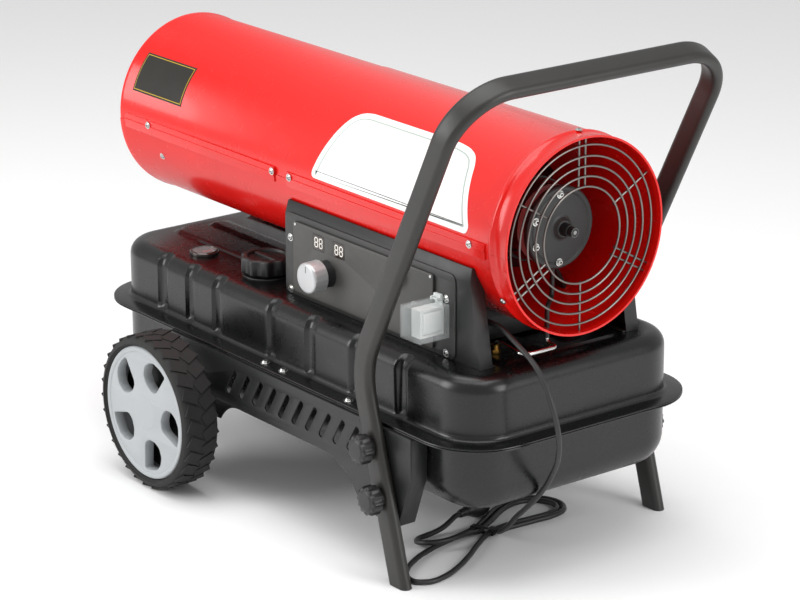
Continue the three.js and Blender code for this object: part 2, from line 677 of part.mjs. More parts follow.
const pipeRiser = { x: 446, y: -38 };

function lowerShell() {
  const wall = common(tunnelWall(tunnel.backX, tunnel.frontX, tunnel.radius, true, true), below(tunnel.splitZ));
  const pipeHole = bar('z', [pipeRiser.x, pipeRiser.y, tunnel.axisZ - tunnel.radius - 10], 40, 4 + gap, 12);
  return cut(wall, pipeHole);
}

add('front_shell', frontShell(), redPaint);
add('rear_shell', rearShell(), redPaint);
add('lower_shell', lowerShell(), redPaint);

// Wire guard over the intake: rings on crossing spokes, clipped inside the shells.
const guardReach = tunnel.radius - sheet - gap;

function wireBar(from, to) {
  return toSolid(sweep(roundSection(guard.wire, 4), [from, to]));
}

function guardSpoke(angle, offset) {
  const a = THREE.MathUtils.degToRad(angle);
  const inner = guard.rings[0] * tunnel.radius;
  const outerRun = Math.sqrt(guardReach ** 2 - offset ** 2);
  const along = (run, dx) => vector(guard.x + dx,
    -run * Math.cos(a) - offset * Math.sin(a), tunnel.axisZ + run * Math.sin(a) - offset * Math.cos(a));
  return wireBar(along(inner - guard.wire, -guard.wire), along(outerRun - 0.5, -guard.wire));
}

function intakeGuard() {
  const rings = guard.rings.map((share) => {
    const torus = new THREE.TorusGeometry(share * tunnel.radius, guard.wire, 4, 16);
    return toSolid(torus.rotateY(Math.PI / 2).translate(guard.x + guard.wire * 0.6, 0, tunnel.axisZ));
  });
  const pairs = [90, 210, 330].flatMap((angle) => [guardSpoke(angle, guard.spokeHalfGap), guardSpoke(angle, -guard.spokeHalfGap)]);
  const singles = [30, 150, 270].map((angle) => guardSpoke(angle, 0));
  return join(...rings, ...pairs, ...singles);
}

add('intake_guard', intakeGuard(), chrome);

// ---------------------------------------------------------------- motor, air pump and fan

function motorBody() {
  const length = motor.frontX - motor.backX;
  const body = turned('x', [motor.backX, 0, tunnel.axisZ], [
    [motor.shaftRadius + gap, 0], [motor.radius - 22, 0], [motor.radius - 22, 6], [motor.radius - 6, 6],
    [motor.radius, 12], [motor.radius, length - 8], [motor.radius - 4, length], [motor.shaftRadius + gap, length],
  ].reverse(), motor.facets);
  return body;
}

add('motor_body', motorBody(), blackPaint);

function motorBracket() {
  const lowX = motor.backX + 30;
  const highX = motor.backX + 78;
  const clearRadius = motor.radius + gap;
  const clamp = ring('x', [lowX, 0, tunnel.axisZ], clearRadius, clearRadius + 3, highX - lowX, motor.facets);
  const shellInner = tunnel.radius - sheet - gap;
  const legs = join(...[-1, 1].map((side) => plateAcross(lowX + 14, highX - 14,
    [[side * 34, tunnel.axisZ - 54], [side * 40, tunnel.axisZ - 54], [side * 92, tunnel.axisZ - 150], [side * 84, tunnel.axisZ - 150]])));
  const reach = bar('x', [lowX - 1, 0, tunnel.axisZ], highX - lowX + 2, shellInner, tunnel.facets);
  const bore = bar('x', [lowX - 1, 0, tunnel.axisZ], highX - lowX + 2, clearRadius, motor.facets);
  return join(clamp, cut(common(legs, reach), bore));
}

// Outline in Y and Z, from lowX to highX.
function plateAcross(lowX, highX, points) {
  const ordered = THREE.ShapeUtils.isClockWise(points.map(([x, y]) => new THREE.Vector2(x, y))) ? [...points].reverse() : points;
  const geometry = new THREE.ExtrudeGeometry(outline(ordered), { depth: highX - lowX, bevelEnabled: false });
  geometry.rotateX(Math.PI / 2).rotateZ(Math.PI / 2);
  return toSolid(geometry.translate(lowX, 0, 0));
}

add('motor_bracket', motorBracket(), blackPaint);

const pumpBackX = motor.frontX + gap;
const pumpBodyFrontX = pump.frontX - pump.coverSheet;
add('pump_body', ring('x', [pumpBackX, 0, tunnel.axisZ], motor.shaftRadius + gap, pump.radius, pumpBodyFrontX - pumpBackX - gap, 24), aluminium);

function pumpCover() {
  const disc = turned('x', [pumpBodyFrontX, 0, tunnel.axisZ], [
    [motor.shaftRadius + gap, 0], [pump.radius + 3, 0], [pump.radius + 3, pump.coverSheet - 2],
    [pump.radius, pump.coverSheet], [14, pump.coverSheet], [12, pump.coverSheet + 8],
    [motor.shaftRadius + gap, pump.coverSheet + 8],
  ].reverse(), 24);
  const screws = [75, 255].map((angle) => {
    const a = THREE.MathUtils.degToRad(angle);
    return headedScrew('x', [pump.frontX, pump.screwRadius * Math.cos(a), tunnel.axisZ + pump.screwRadius * Math.sin(a)], 1, 6, 1);
  });
  return join(disc, ...screws);
}

add('pump_cover', pumpCover(), greyPaint);
add('motor_shaft', bar('x', [motor.shaftBackX, 0, tunnel.axisZ], motor.shaftFrontX - motor.shaftBackX, motor.shaftRadius, 16), steel);

function fanWheel() {
  const lowX = fan.x - fan.hubLength / 2;
  const hub = ring('x', [lowX, 0, tunnel.axisZ], motor.shaftRadius + gap, fan.hubRadius, fan.hubLength, 20);
  const paddle = outline([
    [-15, fan.hubRadius - 8], [15, fan.hubRadius - 8], [30, 60], [36, fan.tipRadius - 20], [18, fan.tipRadius],
    [-22, fan.tipRadius - 4], [-32, 70],
  ]);
  const flat = plate(paddle, -fan.sheet / 2, fan.sheet / 2).rotate([0, 0, 90 - fan.pitch]);
  const blades = Array.from({ length: fan.blades }, (unused, i) => flat.rotate([(i * 360) / fan.blades, 0, 0]).translate([fan.x, 0, tunnel.axisZ]));
  const bore = bar('x', [lowX - 60, 0, tunnel.axisZ], fan.hubLength + 120, motor.shaftRadius + gap, 20);
  return cut(join(hub, ...blades), bore);
}

add('fan', fanWheel(), blackPaint);

// ---------------------------------------------------------------- combustion parts

function combustionChamber() {
  const length = chamber.frontX - chamber.backX;
  const inner = chamber.radius - chamber.sheet;
  const can = turned('x', [chamber.backX, 0, tunnel.axisZ], [
    [inner - 14, 0], [inner - 14, chamber.sheet], [inner, 14], [inner, length - chamber.sheet],
    [burner.radius - 8, length - chamber.sheet], [burner.radius - 8, length], [chamber.radius, length],
    [chamber.radius, 14], [inner - 12, 0],
  ], 24);
  return can;
}

add('combustion_chamber', combustionChamber(), steel);

const outletLand = 6.45;            // metal left on each side of the holes in the outlet ring

function outletRing() {
  const outer = frontShellRadius - sheet - 3 * gap;
  const holeRadius = (outer - chamber.radius) / 2 - outletLand;
  const disc = ring('x', [chamber.backX + 18, 0, tunnel.axisZ], chamber.radius + gap, outer, 2.5, 24);
  const holes = Array.from({ length: 6 }, (unused, i) => {
    const a = (i * 2 * Math.PI) / 6;
    const middle = (outer + chamber.radius) / 2;
    const start = [chamber.backX, middle * Math.cos(a), tunnel.axisZ + middle * Math.sin(a)];
    return bar('x', start, 40, holeRadius, 6);
  });
  return cut(disc, ...holes);
}

add('outlet_ring', outletRing(), steel);

function chamberSupport() {
  const x = chamber.frontX - 60;
  const legs = [40, 140, 220, 320].map((angle) => (
    block([0, -10, chamber.radius + gap], [3, 10, tunnel.radius - sheet - 2.2]).rotate([angle - 90, 0, 0]).translate([x, 0, tunnel.axisZ])));
  return join(ring('x', [x, 0, tunnel.axisZ], chamber.radius + gap, chamber.radius + 3, 14, 24), ...legs);
}

add('chamber_support', chamberSupport(), steel);

function flameDeflector() {
  const disc = turned('x', [chamber.backX + 60, 0, tunnel.axisZ], [[0, 0], [58, 16], [58, 18], [0, 2.4]].reverse(), 20);
  const arms = [90, 210, 330].map((angle) => (
    block([14, -7, 50], [16.4, 7, chamber.radius - chamber.sheet - 4 * gap]).rotate([angle, 0, 0]).translate([chamber.backX + 60, 0, tunnel.axisZ])));
  return join(disc, ...arms);
}

add('flame_deflector', flameDeflector(), steel);

const electrode = { y: 24, z: 14, radius: 4.2 };

function burnerHead() {
  const lowX = chamber.frontX + gap;
  const cup = turned('x', [lowX, 0, tunnel.axisZ], [
    [burner.nozzleRadius + gap, burner.length - 3], [burner.radius - 2, burner.length - 3], [burner.radius - 2, 0],
    [burner.radius + 14, 0], [burner.radius + 14, 2], [burner.radius, 2], [burner.radius, burner.length],
    [burner.nozzleRadius + gap, burner.length],
  ].reverse(), 16);
  const electrodeHole = bar('x', [lowX + 10, electrode.y, tunnel.axisZ + electrode.z], burner.length, electrode.radius + gap, 8);
  return cut(cup, electrodeHole);
}

add('burner_head', burnerHead(), steel);

function fuelNozzle() {
  const lowX = chamber.frontX + gap + burner.length - 16;
  const body = bar('x', [lowX, 0, tunnel.axisZ], burner.nozzleLength, burner.nozzleRadius, 6);
  const tip = turned('x', [lowX - 6, 0, tunnel.axisZ], [[0, 0], [2.5, 0], [6, 6.5], [0, 6.5]].reverse(), 12);
  return join(body, tip);
}

add('fuel_nozzle', fuelNozzle(), brass);

function sparkElectrode() {
  const lowX = chamber.frontX + gap;
  const insulator = bar('x', [lowX + 12, electrode.y, tunnel.axisZ + electrode.z], burner.length + 4, electrode.radius, 8);
  const tip = bar('x', [lowX - 8, electrode.y, tunnel.axisZ + electrode.z], 21, 1.2, 6);
  return join(insulator, tip);
}

add('spark_electrode', sparkElectrode(), palePlastic);

// ---------------------------------------------------------------- saddle and its control side

const shellClear = bar('x', [-everywhere / 2, 0, tunnel.axisZ], everywhere, tunnel.radius + gap, tunnel.facets);

const saddleLowZ = tank.topZ + gap;

// Region inside the saddle's outer skin, shrunk by inset, with its slanted front end.
function saddleEnvelope(inset) {
  const half = saddle.halfWidth - inset;
  const top = saddle.topHalfWidth - inset;
  const across = plateAcross(saddle.backX + inset, saddle.frontX + 10, [
    [-half, saddleLowZ], [half, saddleLowZ], [half, saddle.shoulderZ], [top, saddle.topZ],
    [-top, saddle.topZ], [-half, saddle.shoulderZ],
  ]);
  const slant = plate(outline([
    [saddle.backX - 10, tank.topZ - 10], [saddle.frontX - inset, tank.topZ - 10], [saddle.frontX - inset, tank.topZ],
    [saddle.frontTopX - inset, saddle.topZ], [saddle.frontTopX - inset, saddle.topZ + 10],
    [saddle.backX - 10, saddle.topZ + 10],
  ]), -everywhere, everywhere);
  return common(across, slant);
}

const gland = { x: saddle.cradleX[1] + saddle.cradleSheet, y: -112, z: 392, radius: 9, thread: 6, nut: 10, relief: 56.7 };

function saddleFrame() {
  const outer = saddleEnvelope(0);
  const insideY = saddle.halfWidth - saddle.turnIn;
  const walls = cut(outer, saddleEnvelope(sheet));
  const openEnds = block([saddle.backX - 5, -insideY, saddleLowZ - 1], [saddle.frontX + 5, insideY, everywhere]);
  const feet = [-1, 1].map((side) => {
    const inner = side * (saddle.halfWidth - saddle.footWidth);
    const wallSide = side * (saddle.halfWidth - 1);
    return block([saddle.backX, Math.min(inner, wallSide), saddleLowZ],
      [saddle.frontX - 2, Math.max(inner, wallSide), saddleLowZ + sheet]);
  });
  const cradleLow = tank.topZ + tank.padRise + tank.ridgeRise + 1;
  const cradles = saddle.cradleX.map((x) => (
    common(saddleEnvelope(1), block([x, -everywhere, cradleLow], [x + saddle.cradleSheet, everywhere, everywhere]))));
  const window = block([panel.backX + 6, -saddle.halfWidth - 1, panel.bottomZ + 6],
    [panel.frontX - 6, -saddle.halfWidth + sheet + 1, panel.topZ - 4]);
  const glandHole = bar('x', [gland.x - 10, gland.y, gland.z], 20, gland.thread + gap, 16);
  const screwHoles = coverScrews.map(([x, z]) => (
    bar('y', [x, -saddle.halfWidth - 1, z], sheet + 2, screwRadius + gap, 8)));
  const skin = cut(walls, openEnds);
  return cut(join(skin, ...feet, ...cradles), shellClear, window, glandHole, ...screwHoles);
}

const coverScrewInset = 15;
const coverScrews = [
  [cover.backX + coverScrewInset, 342], [cover.backX + coverScrewInset, 426],
  [cover.frontX - coverScrewInset - 5, 342], [cover.frontX - coverScrewInset - 5, 426],
];

add('saddle_frame', saddleFrame(), blackPaint);

const coverBackY = -saddle.halfWidth;
const coverFaceY = coverBackY - cover.sheet;
const panelFaceY = coverFaceY - panel.rise;
const panelBackY = panelFaceY + cover.sheet;

function controlCover() {
  const sheetShape = roundedRectangle(cover.backX, tank.topZ + gap, cover.frontX, cover.topZ, cover.cornerRadius);
  const flat = plate(sheetShape, coverFaceY, coverBackY, 2);
  const raised = block([panel.backX, panelFaceY, panel.bottomZ], [panel.frontX, coverBackY - 0.5, panel.topZ]);
  const pocket = block([panel.backX + cover.sheet, panelBackY, panel.bottomZ + cover.sheet],
    [panel.frontX - cover.sheet, coverBackY + 1, panel.topZ - cover.sheet]);
  const windows = display.x.map((x) => (
    block([x - display.width / 2, panelFaceY - 1, display.z - display.height / 2],
      [x + display.width / 2, panelBackY + 1, display.z + display.height / 2])));
  const dialHole = bar('y', [dial.x, panelFaceY - 1, dial.z], 6, dialSpindle + gap, 16);
  const resetHole = bar('y', [resetCap.x, panelFaceY - 1, resetCap.z], 6, resetStem + gap, 16);
  const screwHoles = coverScrews.map(([x, z]) => bar('y', [x, coverFaceY - 1, z], 4, screwRadius + gap, 8));
  return cut(join(flat, raised), pocket, ...windows, dialHole, resetHole, ...screwHoles);
}

const dialSpindle = 3;
const resetStem = 7;
add('control_cover', controlCover(), greyPaint);

coverScrews.forEach(([x, z], i) => {
  add(`cover_screw_${i + 1}`, headedScrew('y', [x, coverFaceY - gap, z], -1, 5.5, 5), chrome);
});

// Circuit board on standoffs behind the panel, with the two display blocks soldered on it.
const board = { backX: 29.5, frontX: 226, lowZ: 352, highZ: 446, y: coverBackY + 18, thickness: 1.6 };

function circuitBoard() {
  const card = block([board.backX, board.y, board.lowZ], [board.frontX, board.y + board.thickness, board.highZ]);
  const corners = [[board.backX + 6, board.lowZ + 6], [board.frontX - 6, board.lowZ + 6],
    [board.backX + 6, board.highZ - 6], [board.frontX - 6, board.highZ - 6]];
  const posts = corners.map(([x, z]) => bar('y', [x, panelBackY + gap, z], board.y - panelBackY - gap + 0.5, 3, 8));
  const relay = block([board.frontX - 86, board.y - 15, board.lowZ + 13],
    [board.frontX - 58, board.y + 0.2, board.lowZ + 29]);
  const capacitor = bar('y', [board.frontX - 36, board.y - 14, board.highZ - 46], 14.2, 7, 12);
  const displays = display.x.map((x) => (
    block([x - display.width / 2 + gap, panelFaceY + 0.8, display.z - display.height / 2 + gap],
      [x + display.width / 2 - gap, board.y + 0.5, display.z + display.height / 2 - gap])));
  return join(card, ...posts, relay, capacitor, ...displays);
}

add('circuit_board', circuitBoard(), palePlastic);

function dialBase() {
  const endY = panelFaceY - gap;
  return turned('y', [dial.x, endY - dial.baseLength, dial.z], [
    [dialSpindle + gap, 0], [dial.baseRadius - 1.5, 0], [dial.baseRadius, 1.5], [dial.baseRadius, dial.baseLength],
    [dialSpindle + gap, dial.baseLength],
  ].reverse(), 20);
}

add('dial_base', dialBase(), blackPlastic);

function dialKnob() {
  const backY = panelFaceY - dial.baseLength - 2 * gap;
  const head = turned('y', [dial.x, backY - dial.length, dial.z], [
    [0, 0], [dial.radius - 3, 0], [dial.radius - 1, 2], [dial.radius, dial.length], [0, dial.length],
  ].reverse(), 24);
  const spindle = bar('y', [dial.x, backY - 1, dial.z], board.y - 3 - backY, dialSpindle, 12);
  return join(head, spindle);
}

add('dial_knob', dialKnob(), aluminium);

function resetCover() {
  const backY = panelFaceY - gap;
  const head = plate(lobedOutline(resetCap.radius, 12, 1.2, 2), backY - resetCap.length, backY);
  const stem = bar('y', [0, backY - 1, 0], 16, resetStem, 16);
  return join(head, stem).translate([resetCap.x, 0, resetCap.z]);
}

add('reset_cap', resetCover(), blackPlastic);

// Side-facing rocker switch under a clear flip cover.
const switchFrontX = powerSwitch.backX + powerSwitch.width;
const switchLowZ = powerSwitch.z - powerSwitch.height / 2;
const switchHighZ = powerSwitch.z + powerSwitch.height / 2;
const switchFaceY = coverFaceY - gap - powerSwitch.depth;
const rockerHalf = powerSwitch.height / 2 - 5;

const coverHinge = { backX: 334, frontX: 350, lug: 3, y: -165.5, z: 424 };

// The back plate of the housing runs up behind the clear cover and holds its hinge pin.
function switchHousing() {
  const backY = coverFaceY - gap;
  const body = block([powerSwitch.backX, switchFaceY, switchLowZ], [switchFrontX, backY, switchHighZ]);
  const pocket = block([switchFrontX - 8, switchFaceY + 4, switchLowZ + 4.2], [switchFrontX + 1, coverFaceY - 5, switchHighZ - 4.2]);
  const lowZ = coverHinge.z - 2.5;
  const backPlate = block([coverHinge.backX, backY - 2, switchHighZ - 1], [coverHinge.frontX, backY, lowZ + 9]);
  const base = block([coverHinge.backX, coverHinge.y + 3.6, lowZ], [coverHinge.frontX, backY, lowZ + 9]);
  const lugs = [coverHinge.backX, coverHinge.frontX - coverHinge.lug].map((x) => (
    block([x, coverHinge.y - 2.6, lowZ], [x + coverHinge.lug, coverHinge.y + 4, lowZ + 5.2])));
  const pin = bar('x', [coverHinge.backX + 0.5, coverHinge.y, coverHinge.z], coverHinge.frontX - coverHinge.backX - 1, 1.1, 10);
  return join(cut(body, pocket), backPlate, base, ...lugs, pin);
}

add('switch_housing', switchHousing(), palePlastic);

const rockerPivotX = switchFrontX - 2.5;

function rocker() {
  const face = powerSwitch.rockerRise;
  const shape = outline([
    [-1.5, -rockerHalf], [face - 2.5, -rockerHalf], [face, 0], [face - 2.5, rockerHalf], [-1.5, rockerHalf], [-2.8, 0],
  ]);
  return plate(shape, switchFaceY + 4 + gap, coverFaceY - 5 - gap).translate([rockerPivotX, 0, powerSwitch.z]);
}

add('rocker_switch', rocker(), palePlastic);

function flipCover() {
  const w = splashCover.wall;
  const frontY = panelFaceY - splashCover.depth;
  const backY = panelFaceY - gap;
  const outer = block([splashCover.backX, frontY, splashCover.lowZ], [splashCover.frontX, backY, splashCover.highZ]);
  const inner = block([splashCover.backX + w, frontY + w, splashCover.lowZ - 1],
    [splashCover.frontX - w, backY + 1, splashCover.highZ - w]);
  const barrelX = coverHinge.backX + coverHinge.lug + gap;
  const barrelLength = coverHinge.frontX - coverHinge.backX - 2 * (coverHinge.lug + gap);
  const barrel = bar('x', [barrelX, coverHinge.y, coverHinge.z], barrelLength, 2.6, 14);
  const leaf = block([barrelX, coverHinge.y - 2.4, splashCover.highZ - 1], [barrelX + barrelLength, coverHinge.y + 1.5, coverHinge.z]);
  const bore = bar('x', [barrelX - 1, coverHinge.y, coverHinge.z], barrelLength + 2, 1.1 + gap, 14);
  const eye = ring('x', [338, frontY + 12, splashCover.highZ + 2.5], 2.2, 4.6, 3, 14);
  return join(cut(outer, inner), cut(join(barrel, leaf), bore), eye);
}

add('splash_cover', flipCover(), clearPlastic);

// Ignition transformer on the rear cradle plate.
const transformer = { length: 72, backY: -128, frontY: -90, lowZ: 346, highZ: 388 };

function ignitionTransformer() {
  const x = saddle.cradleX[0] + saddle.cradleSheet + gap;
  const body = block([x, transformer.backY, transformer.lowZ], [x + transformer.length, transformer.frontY, transformer.highZ]);
  const terminal = bar('x', [x + transformer.length - 1, (transformer.backY + transformer.frontY) / 2, transformer.lowZ + 15], 18, 6, 12);
  return join(body, terminal);
}

add('ignition_transformer', ignitionTransformer(), blackPlastic);

// Fuel pipe: up from its union on the tank, a bow in front of the saddle, then through the lower shell to the pump.
const pipeRadius = 3.2;
const pumpPort = { x: 412, z: tunnel.axisZ - pump.radius };

function fuelPipe() {
  const low = tank.topZ + tank.padRise;
  const corners = [
    vector(pickup.x, pickup.y, low + 4), vector(pickup.x, pickup.y, low + 20),
    vector(472, -104, low + 20), vector(472, pipeRiser.y, low + 20), vector(pipeRiser.x, pipeRiser.y, low + 20),
    vector(pipeRiser.x, pipeRiser.y, 412), vector(pumpPort.x, 0, 412), vector(pumpPort.x, 0, pumpPort.z - gap),
  ];
  const pipe = toSolid(sweep(roundSection(pipeRadius, 6), roundedRoute(corners, [14, 14, 12, 7, 12, 14], 30)));
  const union = turned('z', [pickup.x, pickup.y, low + gap], [[0, 0], [9, 0], [9, 5], [6, 6], [6, 12], [0, 12]], 6);
  const stem = bar('z', [pickup.x, pickup.y, tank.topZ - 60], 60 + tank.padRise + gap + 1, pickup.radius - 0.5, 12);
  return join(pipe, union, stem);
}

add('fuel_pipe', fuelPipe(), steel);

// ---------------------------------------------------------------- power cord

function cordGland() {
  const backX = gland.x - saddle.cradleSheet - 5;
  return turned('x', [0, gland.y, gland.z], [
    [0, backX], [gland.thread, backX], [gland.thread, gland.x + gap], [gland.radius, gland.x + gap],
    [gland.radius, gland.x + gland.nut], [gland.thread, gland.x + gland.nut],
    [gland.thread - 0.6, gland.x + 30], [cord.radius + 0.4, gland.x + gap + gland.relief], [0, gland.x + gap + gland.relief],
  ], 12);
}

add('cord_gland', cordGland(), blackPlastic);

function cordTube(points) {
  return sweep(roundSection(cord.radius, cord.sides), points);
}

const leadPoints = [
  [gland.x + gland.relief + 2 * gap, gland.y, gland.z], [422, -112, 391.8], [436, -112, 388.6], [452, -112, 382], [470, -112, 374],
  [489, -112, 365], [508, -112, 353.5], [523, -112, 339], [536, -112, 322], [546, -111.5, 303],
  [552.5, -109, 280], [554, -105.5, 257], [549, -100, 233], [537, -93, 208], [518, -86, 182], [496, -78, 157],
  [470, -69, 132], [442, -60, 107.5], [413, -51, 84], [385, -42, 62], [362, -35, 41], [342, -29, 25],
  [325, -24, 14], [315.5, -17.5, 9], [309, -8, 6.2], [305.8, 2, 4.9],
].map(([x, y, z]) => vector(x, y, z));

// The spare cord lies on the floor as a bow of loops, pinched at its middle. Turn 0 ends inside, and
// each earlier turn lies one pitch further out along the bow's own normal.
const hank = {
  middle: [289, -26], rightReach: [-32, 149], leftReach: [90, -197],
  halfPinch: 6, pitch: 11.2, turns: 1.5, steps: 24, z: 4.5,
};

function bow(t) {
  const c = Math.cos(t);
  const s = -Math.sin(t);
  const half = [0, 1].map((i) => (hank.rightReach[i] - hank.leftReach[i]) / 2);
  const bend = [0, 1].map((i) => (hank.rightReach[i] + hank.leftReach[i]) / 2);
  const long = Math.hypot(...half);
  const across = [half[1] / long, -half[0] / long];
  const spread = Math.sqrt(c * c + 0.06) - Math.sqrt(0.06);
  const width = hank.halfPinch + (70 + 8 * c + 10 * s * c * (1 + c)) * spread;
  return [0, 1].map((i) => (
    hank.middle[i] + c * half[i] + c * c * bend[i] + across[i] * (s * width + 3 * c ** 3)));
}

function hankPoints() {
  const count = Math.round(hank.turns * hank.steps);
  return Array.from({ length: count }, (unused, i) => {
    const t = Math.PI * 1.5 + ((i + 1) * 2 * Math.PI) / hank.steps;
    const [ahead, behind, here] = [t + 0.01, t - 0.01, t].map(bow);
    const along = [ahead[0] - behind[0], ahead[1] - behind[1]];
    const offset = hank.pitch * (hank.turns - (i + 1) / hank.steps) / Math.hypot(...along);
    return vector(here[0] + along[1] * offset, here[1] - along[0] * offset, hank.z);
  });
}

// Least distance between two stretches of a tube that are not neighbours along it.
function selfGap(points, radius) {
  const fine = points.slice(1).flatMap((point, i) => (
    [0, 0.25, 0.5, 0.75].map((share) => points[i].clone().lerp(point, share))));
  const lengths = [0];
  for (let i = 1; i < fine.length; i += 1) lengths.push(lengths[i - 1] + fine[i].distanceTo(fine[i - 1]));
  let least = Infinity;
  for (let i = 0; i < fine.length; i += 1) {
    for (let j = i + 1; j < fine.length; j += 1) {
      if (lengths[j] - lengths[i] > 8 * radius) least = Math.min(least, fine[i].distanceTo(fine[j]));
    }
  }
  return least - 2 * radius;
}

const loops = hankPoints();
const loopsStart = loops[0].clone();
const loopsHeading = loops[1].clone().sub(loops[0]).normalize();
const loopsEnd = loops[loops.length - 1].clone();
const tailHeading = loopsEnd.clone().sub(loops[loops.length - 2]).normalize();
console.log(`hank self-gap ${selfGap(loops, cord.radius).toFixed(2)} mm`);

leadPoints.push(...[9, gap].map((back) => loopsStart.clone().addScaledVector(loopsHeading, -back)));
const tailPoints = [
  loopsEnd.clone().addScaledVector(tailHeading, gap), loopsEnd.clone().addScaledVector(tailHeading, gap + 2 * cord.radius),
  ...[
    [292.5, -53, 8.5], [298, -70, 12.6], [302, -90, 14.4], [302.5, -110, 14.4], [297.5, -128, 14], [283, -141, 11.5],
    [266, -140, 7.5], [254, -128, 5.2], [250.3, -111, 4.7], [250, -94, 5.6], [249.5, -78, 8.5],
    [247, -64, 12.2], [244, -53, 15.4], [241, -44.6, 17.1],
  ].map(([x, y, z]) => vector(x, y, z)),
];

const plug = {
  start: vector(239, -36, 17.2), headingDegrees: 103,
  relief: 26, reliefRadius: 6.5, bodyRadius: 16.8, bodyLength: 34, pinLength: 19, pinRadius: 2.4, pinPitch: 19,
};

const plugHeading = vector(Math.cos(THREE.MathUtils.degToRad(plug.headingDegrees)), Math.sin(THREE.MathUtils.degToRad(plug.headingDegrees)), 0);
tailPoints.push(plug.start.clone().addScaledVector(plugHeading, -gap));

add('power_cord', cordTube(leadPoints), cordJacket);
add('cord_hank', sweep(roundSection(cord.radius, 6), loops), cordJacket);
add('cord_tail', cordTube(tailPoints), cordJacket);

function powerPlug() {
  const reach = plug.relief + plug.bodyLength;
  const body = turned('x', [0, 0, 0], [
    [0, 0], [cord.radius + 0.6, 0], [plug.reliefRadius, plug.relief - 2], [13, plug.relief + 4],
    [plug.bodyRadius, plug.relief + 14], [plug.bodyRadius, reach - 2], [plug.bodyRadius - 2, reach], [0, reach],
  ], 16);
  const pins = [-1, 1].map((side) => (
    bar('x', [reach - 1, (side * plug.pinPitch) / 2, 0], plug.pinLength + 1, plug.pinRadius, 12)));
  return join(body, ...pins).rotate([0, 0, plug.headingDegrees]).translate([...plug.start]);
}

add('power_plug', powerPlug(), blackPlastic);

// Flat strap over the middle of the loops, with its clasp at one side.
function cordTie() {
  const tie = { lowX: -24, highX: 19, top: 10.2, strap: 1.2, halfWidth: 4 };
  const hoop = (inset) => plate(outline([
    [tie.lowX + inset, 0.2], [tie.highX - inset, 0.2], [tie.highX - inset, tie.top - 3], [tie.highX - 3, tie.top - inset],
    [tie.lowX + 3, tie.top - inset], [tie.lowX + inset, tie.top - 3],
  ]), -tie.halfWidth, tie.halfWidth);
  const clasp = block([tie.highX - 8, -4.8, tie.top - 0.5], [tie.highX - 3, 4.8, tie.top + 3]);
  return join(cut(hoop(0), hoop(tie.strap)), clasp).rotate([0, 0, 19]).translate([...hank.middle, 0]);
}

add('cord_tie', cordTie(), blackPlastic);

export default object;
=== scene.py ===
import math

import bmesh
import bpy
from mathutils import Matrix, Vector


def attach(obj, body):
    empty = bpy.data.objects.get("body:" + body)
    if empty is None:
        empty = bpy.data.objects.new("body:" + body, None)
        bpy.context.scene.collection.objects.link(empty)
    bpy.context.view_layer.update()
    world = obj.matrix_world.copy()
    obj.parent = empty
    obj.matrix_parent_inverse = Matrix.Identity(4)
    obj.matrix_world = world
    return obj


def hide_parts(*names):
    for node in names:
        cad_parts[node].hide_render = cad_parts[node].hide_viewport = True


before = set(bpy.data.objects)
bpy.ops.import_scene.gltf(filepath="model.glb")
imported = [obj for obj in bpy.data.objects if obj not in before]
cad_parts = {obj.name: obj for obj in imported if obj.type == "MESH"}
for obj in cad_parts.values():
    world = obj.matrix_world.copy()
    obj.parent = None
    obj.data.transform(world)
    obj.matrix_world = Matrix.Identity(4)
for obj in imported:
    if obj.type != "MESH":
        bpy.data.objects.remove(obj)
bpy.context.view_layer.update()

chassis = "chassis"


# the camera stands where the photograph was taken from
cameraPlace = {
    "location": (3.6654, -2.7931, 1.8209),
    "azimuth": 52.356,
    "elevation": 18.276,
    "roll": -0.156,
    "lens": 137.2,
}


def makeCamera(place):
    a, e, r = (math.radians(place[k]) for k in ("azimuth", "elevation", "roll"))
    back = Vector((math.sin(a) * math.cos(e), -math.cos(a) * math.cos(e), math.sin(e)))
    right = Vector((math.cos(a), math.sin(a), 0))
    up = back.cross(right)
    across = math.cos(r) * right + math.sin(r) * up
    upright = math.cos(r) * up - math.sin(r) * right
    data = bpy.data.cameras.new("camera")
    data.lens = place["lens"]
    data.sensor_width = 36
    data.clip_start, data.clip_end = 0.1, 60
    camera = bpy.data.objects.new("camera", data)
    bpy.context.scene.collection.objects.link(camera)
    turn = Matrix((across, upright, back)).transposed().to_4x4()
    camera.matrix_world = Matrix.Translation(place["location"]) @ turn
    bpy.context.scene.camera = camera


makeCamera(cameraPlace)
print("camera placed")


# finishes: every one has its own cloudiness, grain and bump on object coordinates
def linear(code):
    parts = [int(code[i:i + 2], 16) / 255 for i in (0, 2, 4)]
    return [c / 12.92 if c <= 0.04045 else ((c + 0.055) / 1.055) ** 2.4 for c in parts] + [1]


def fill(node, values):
    for label, value in values.items():
        node.inputs[label].default_value = value


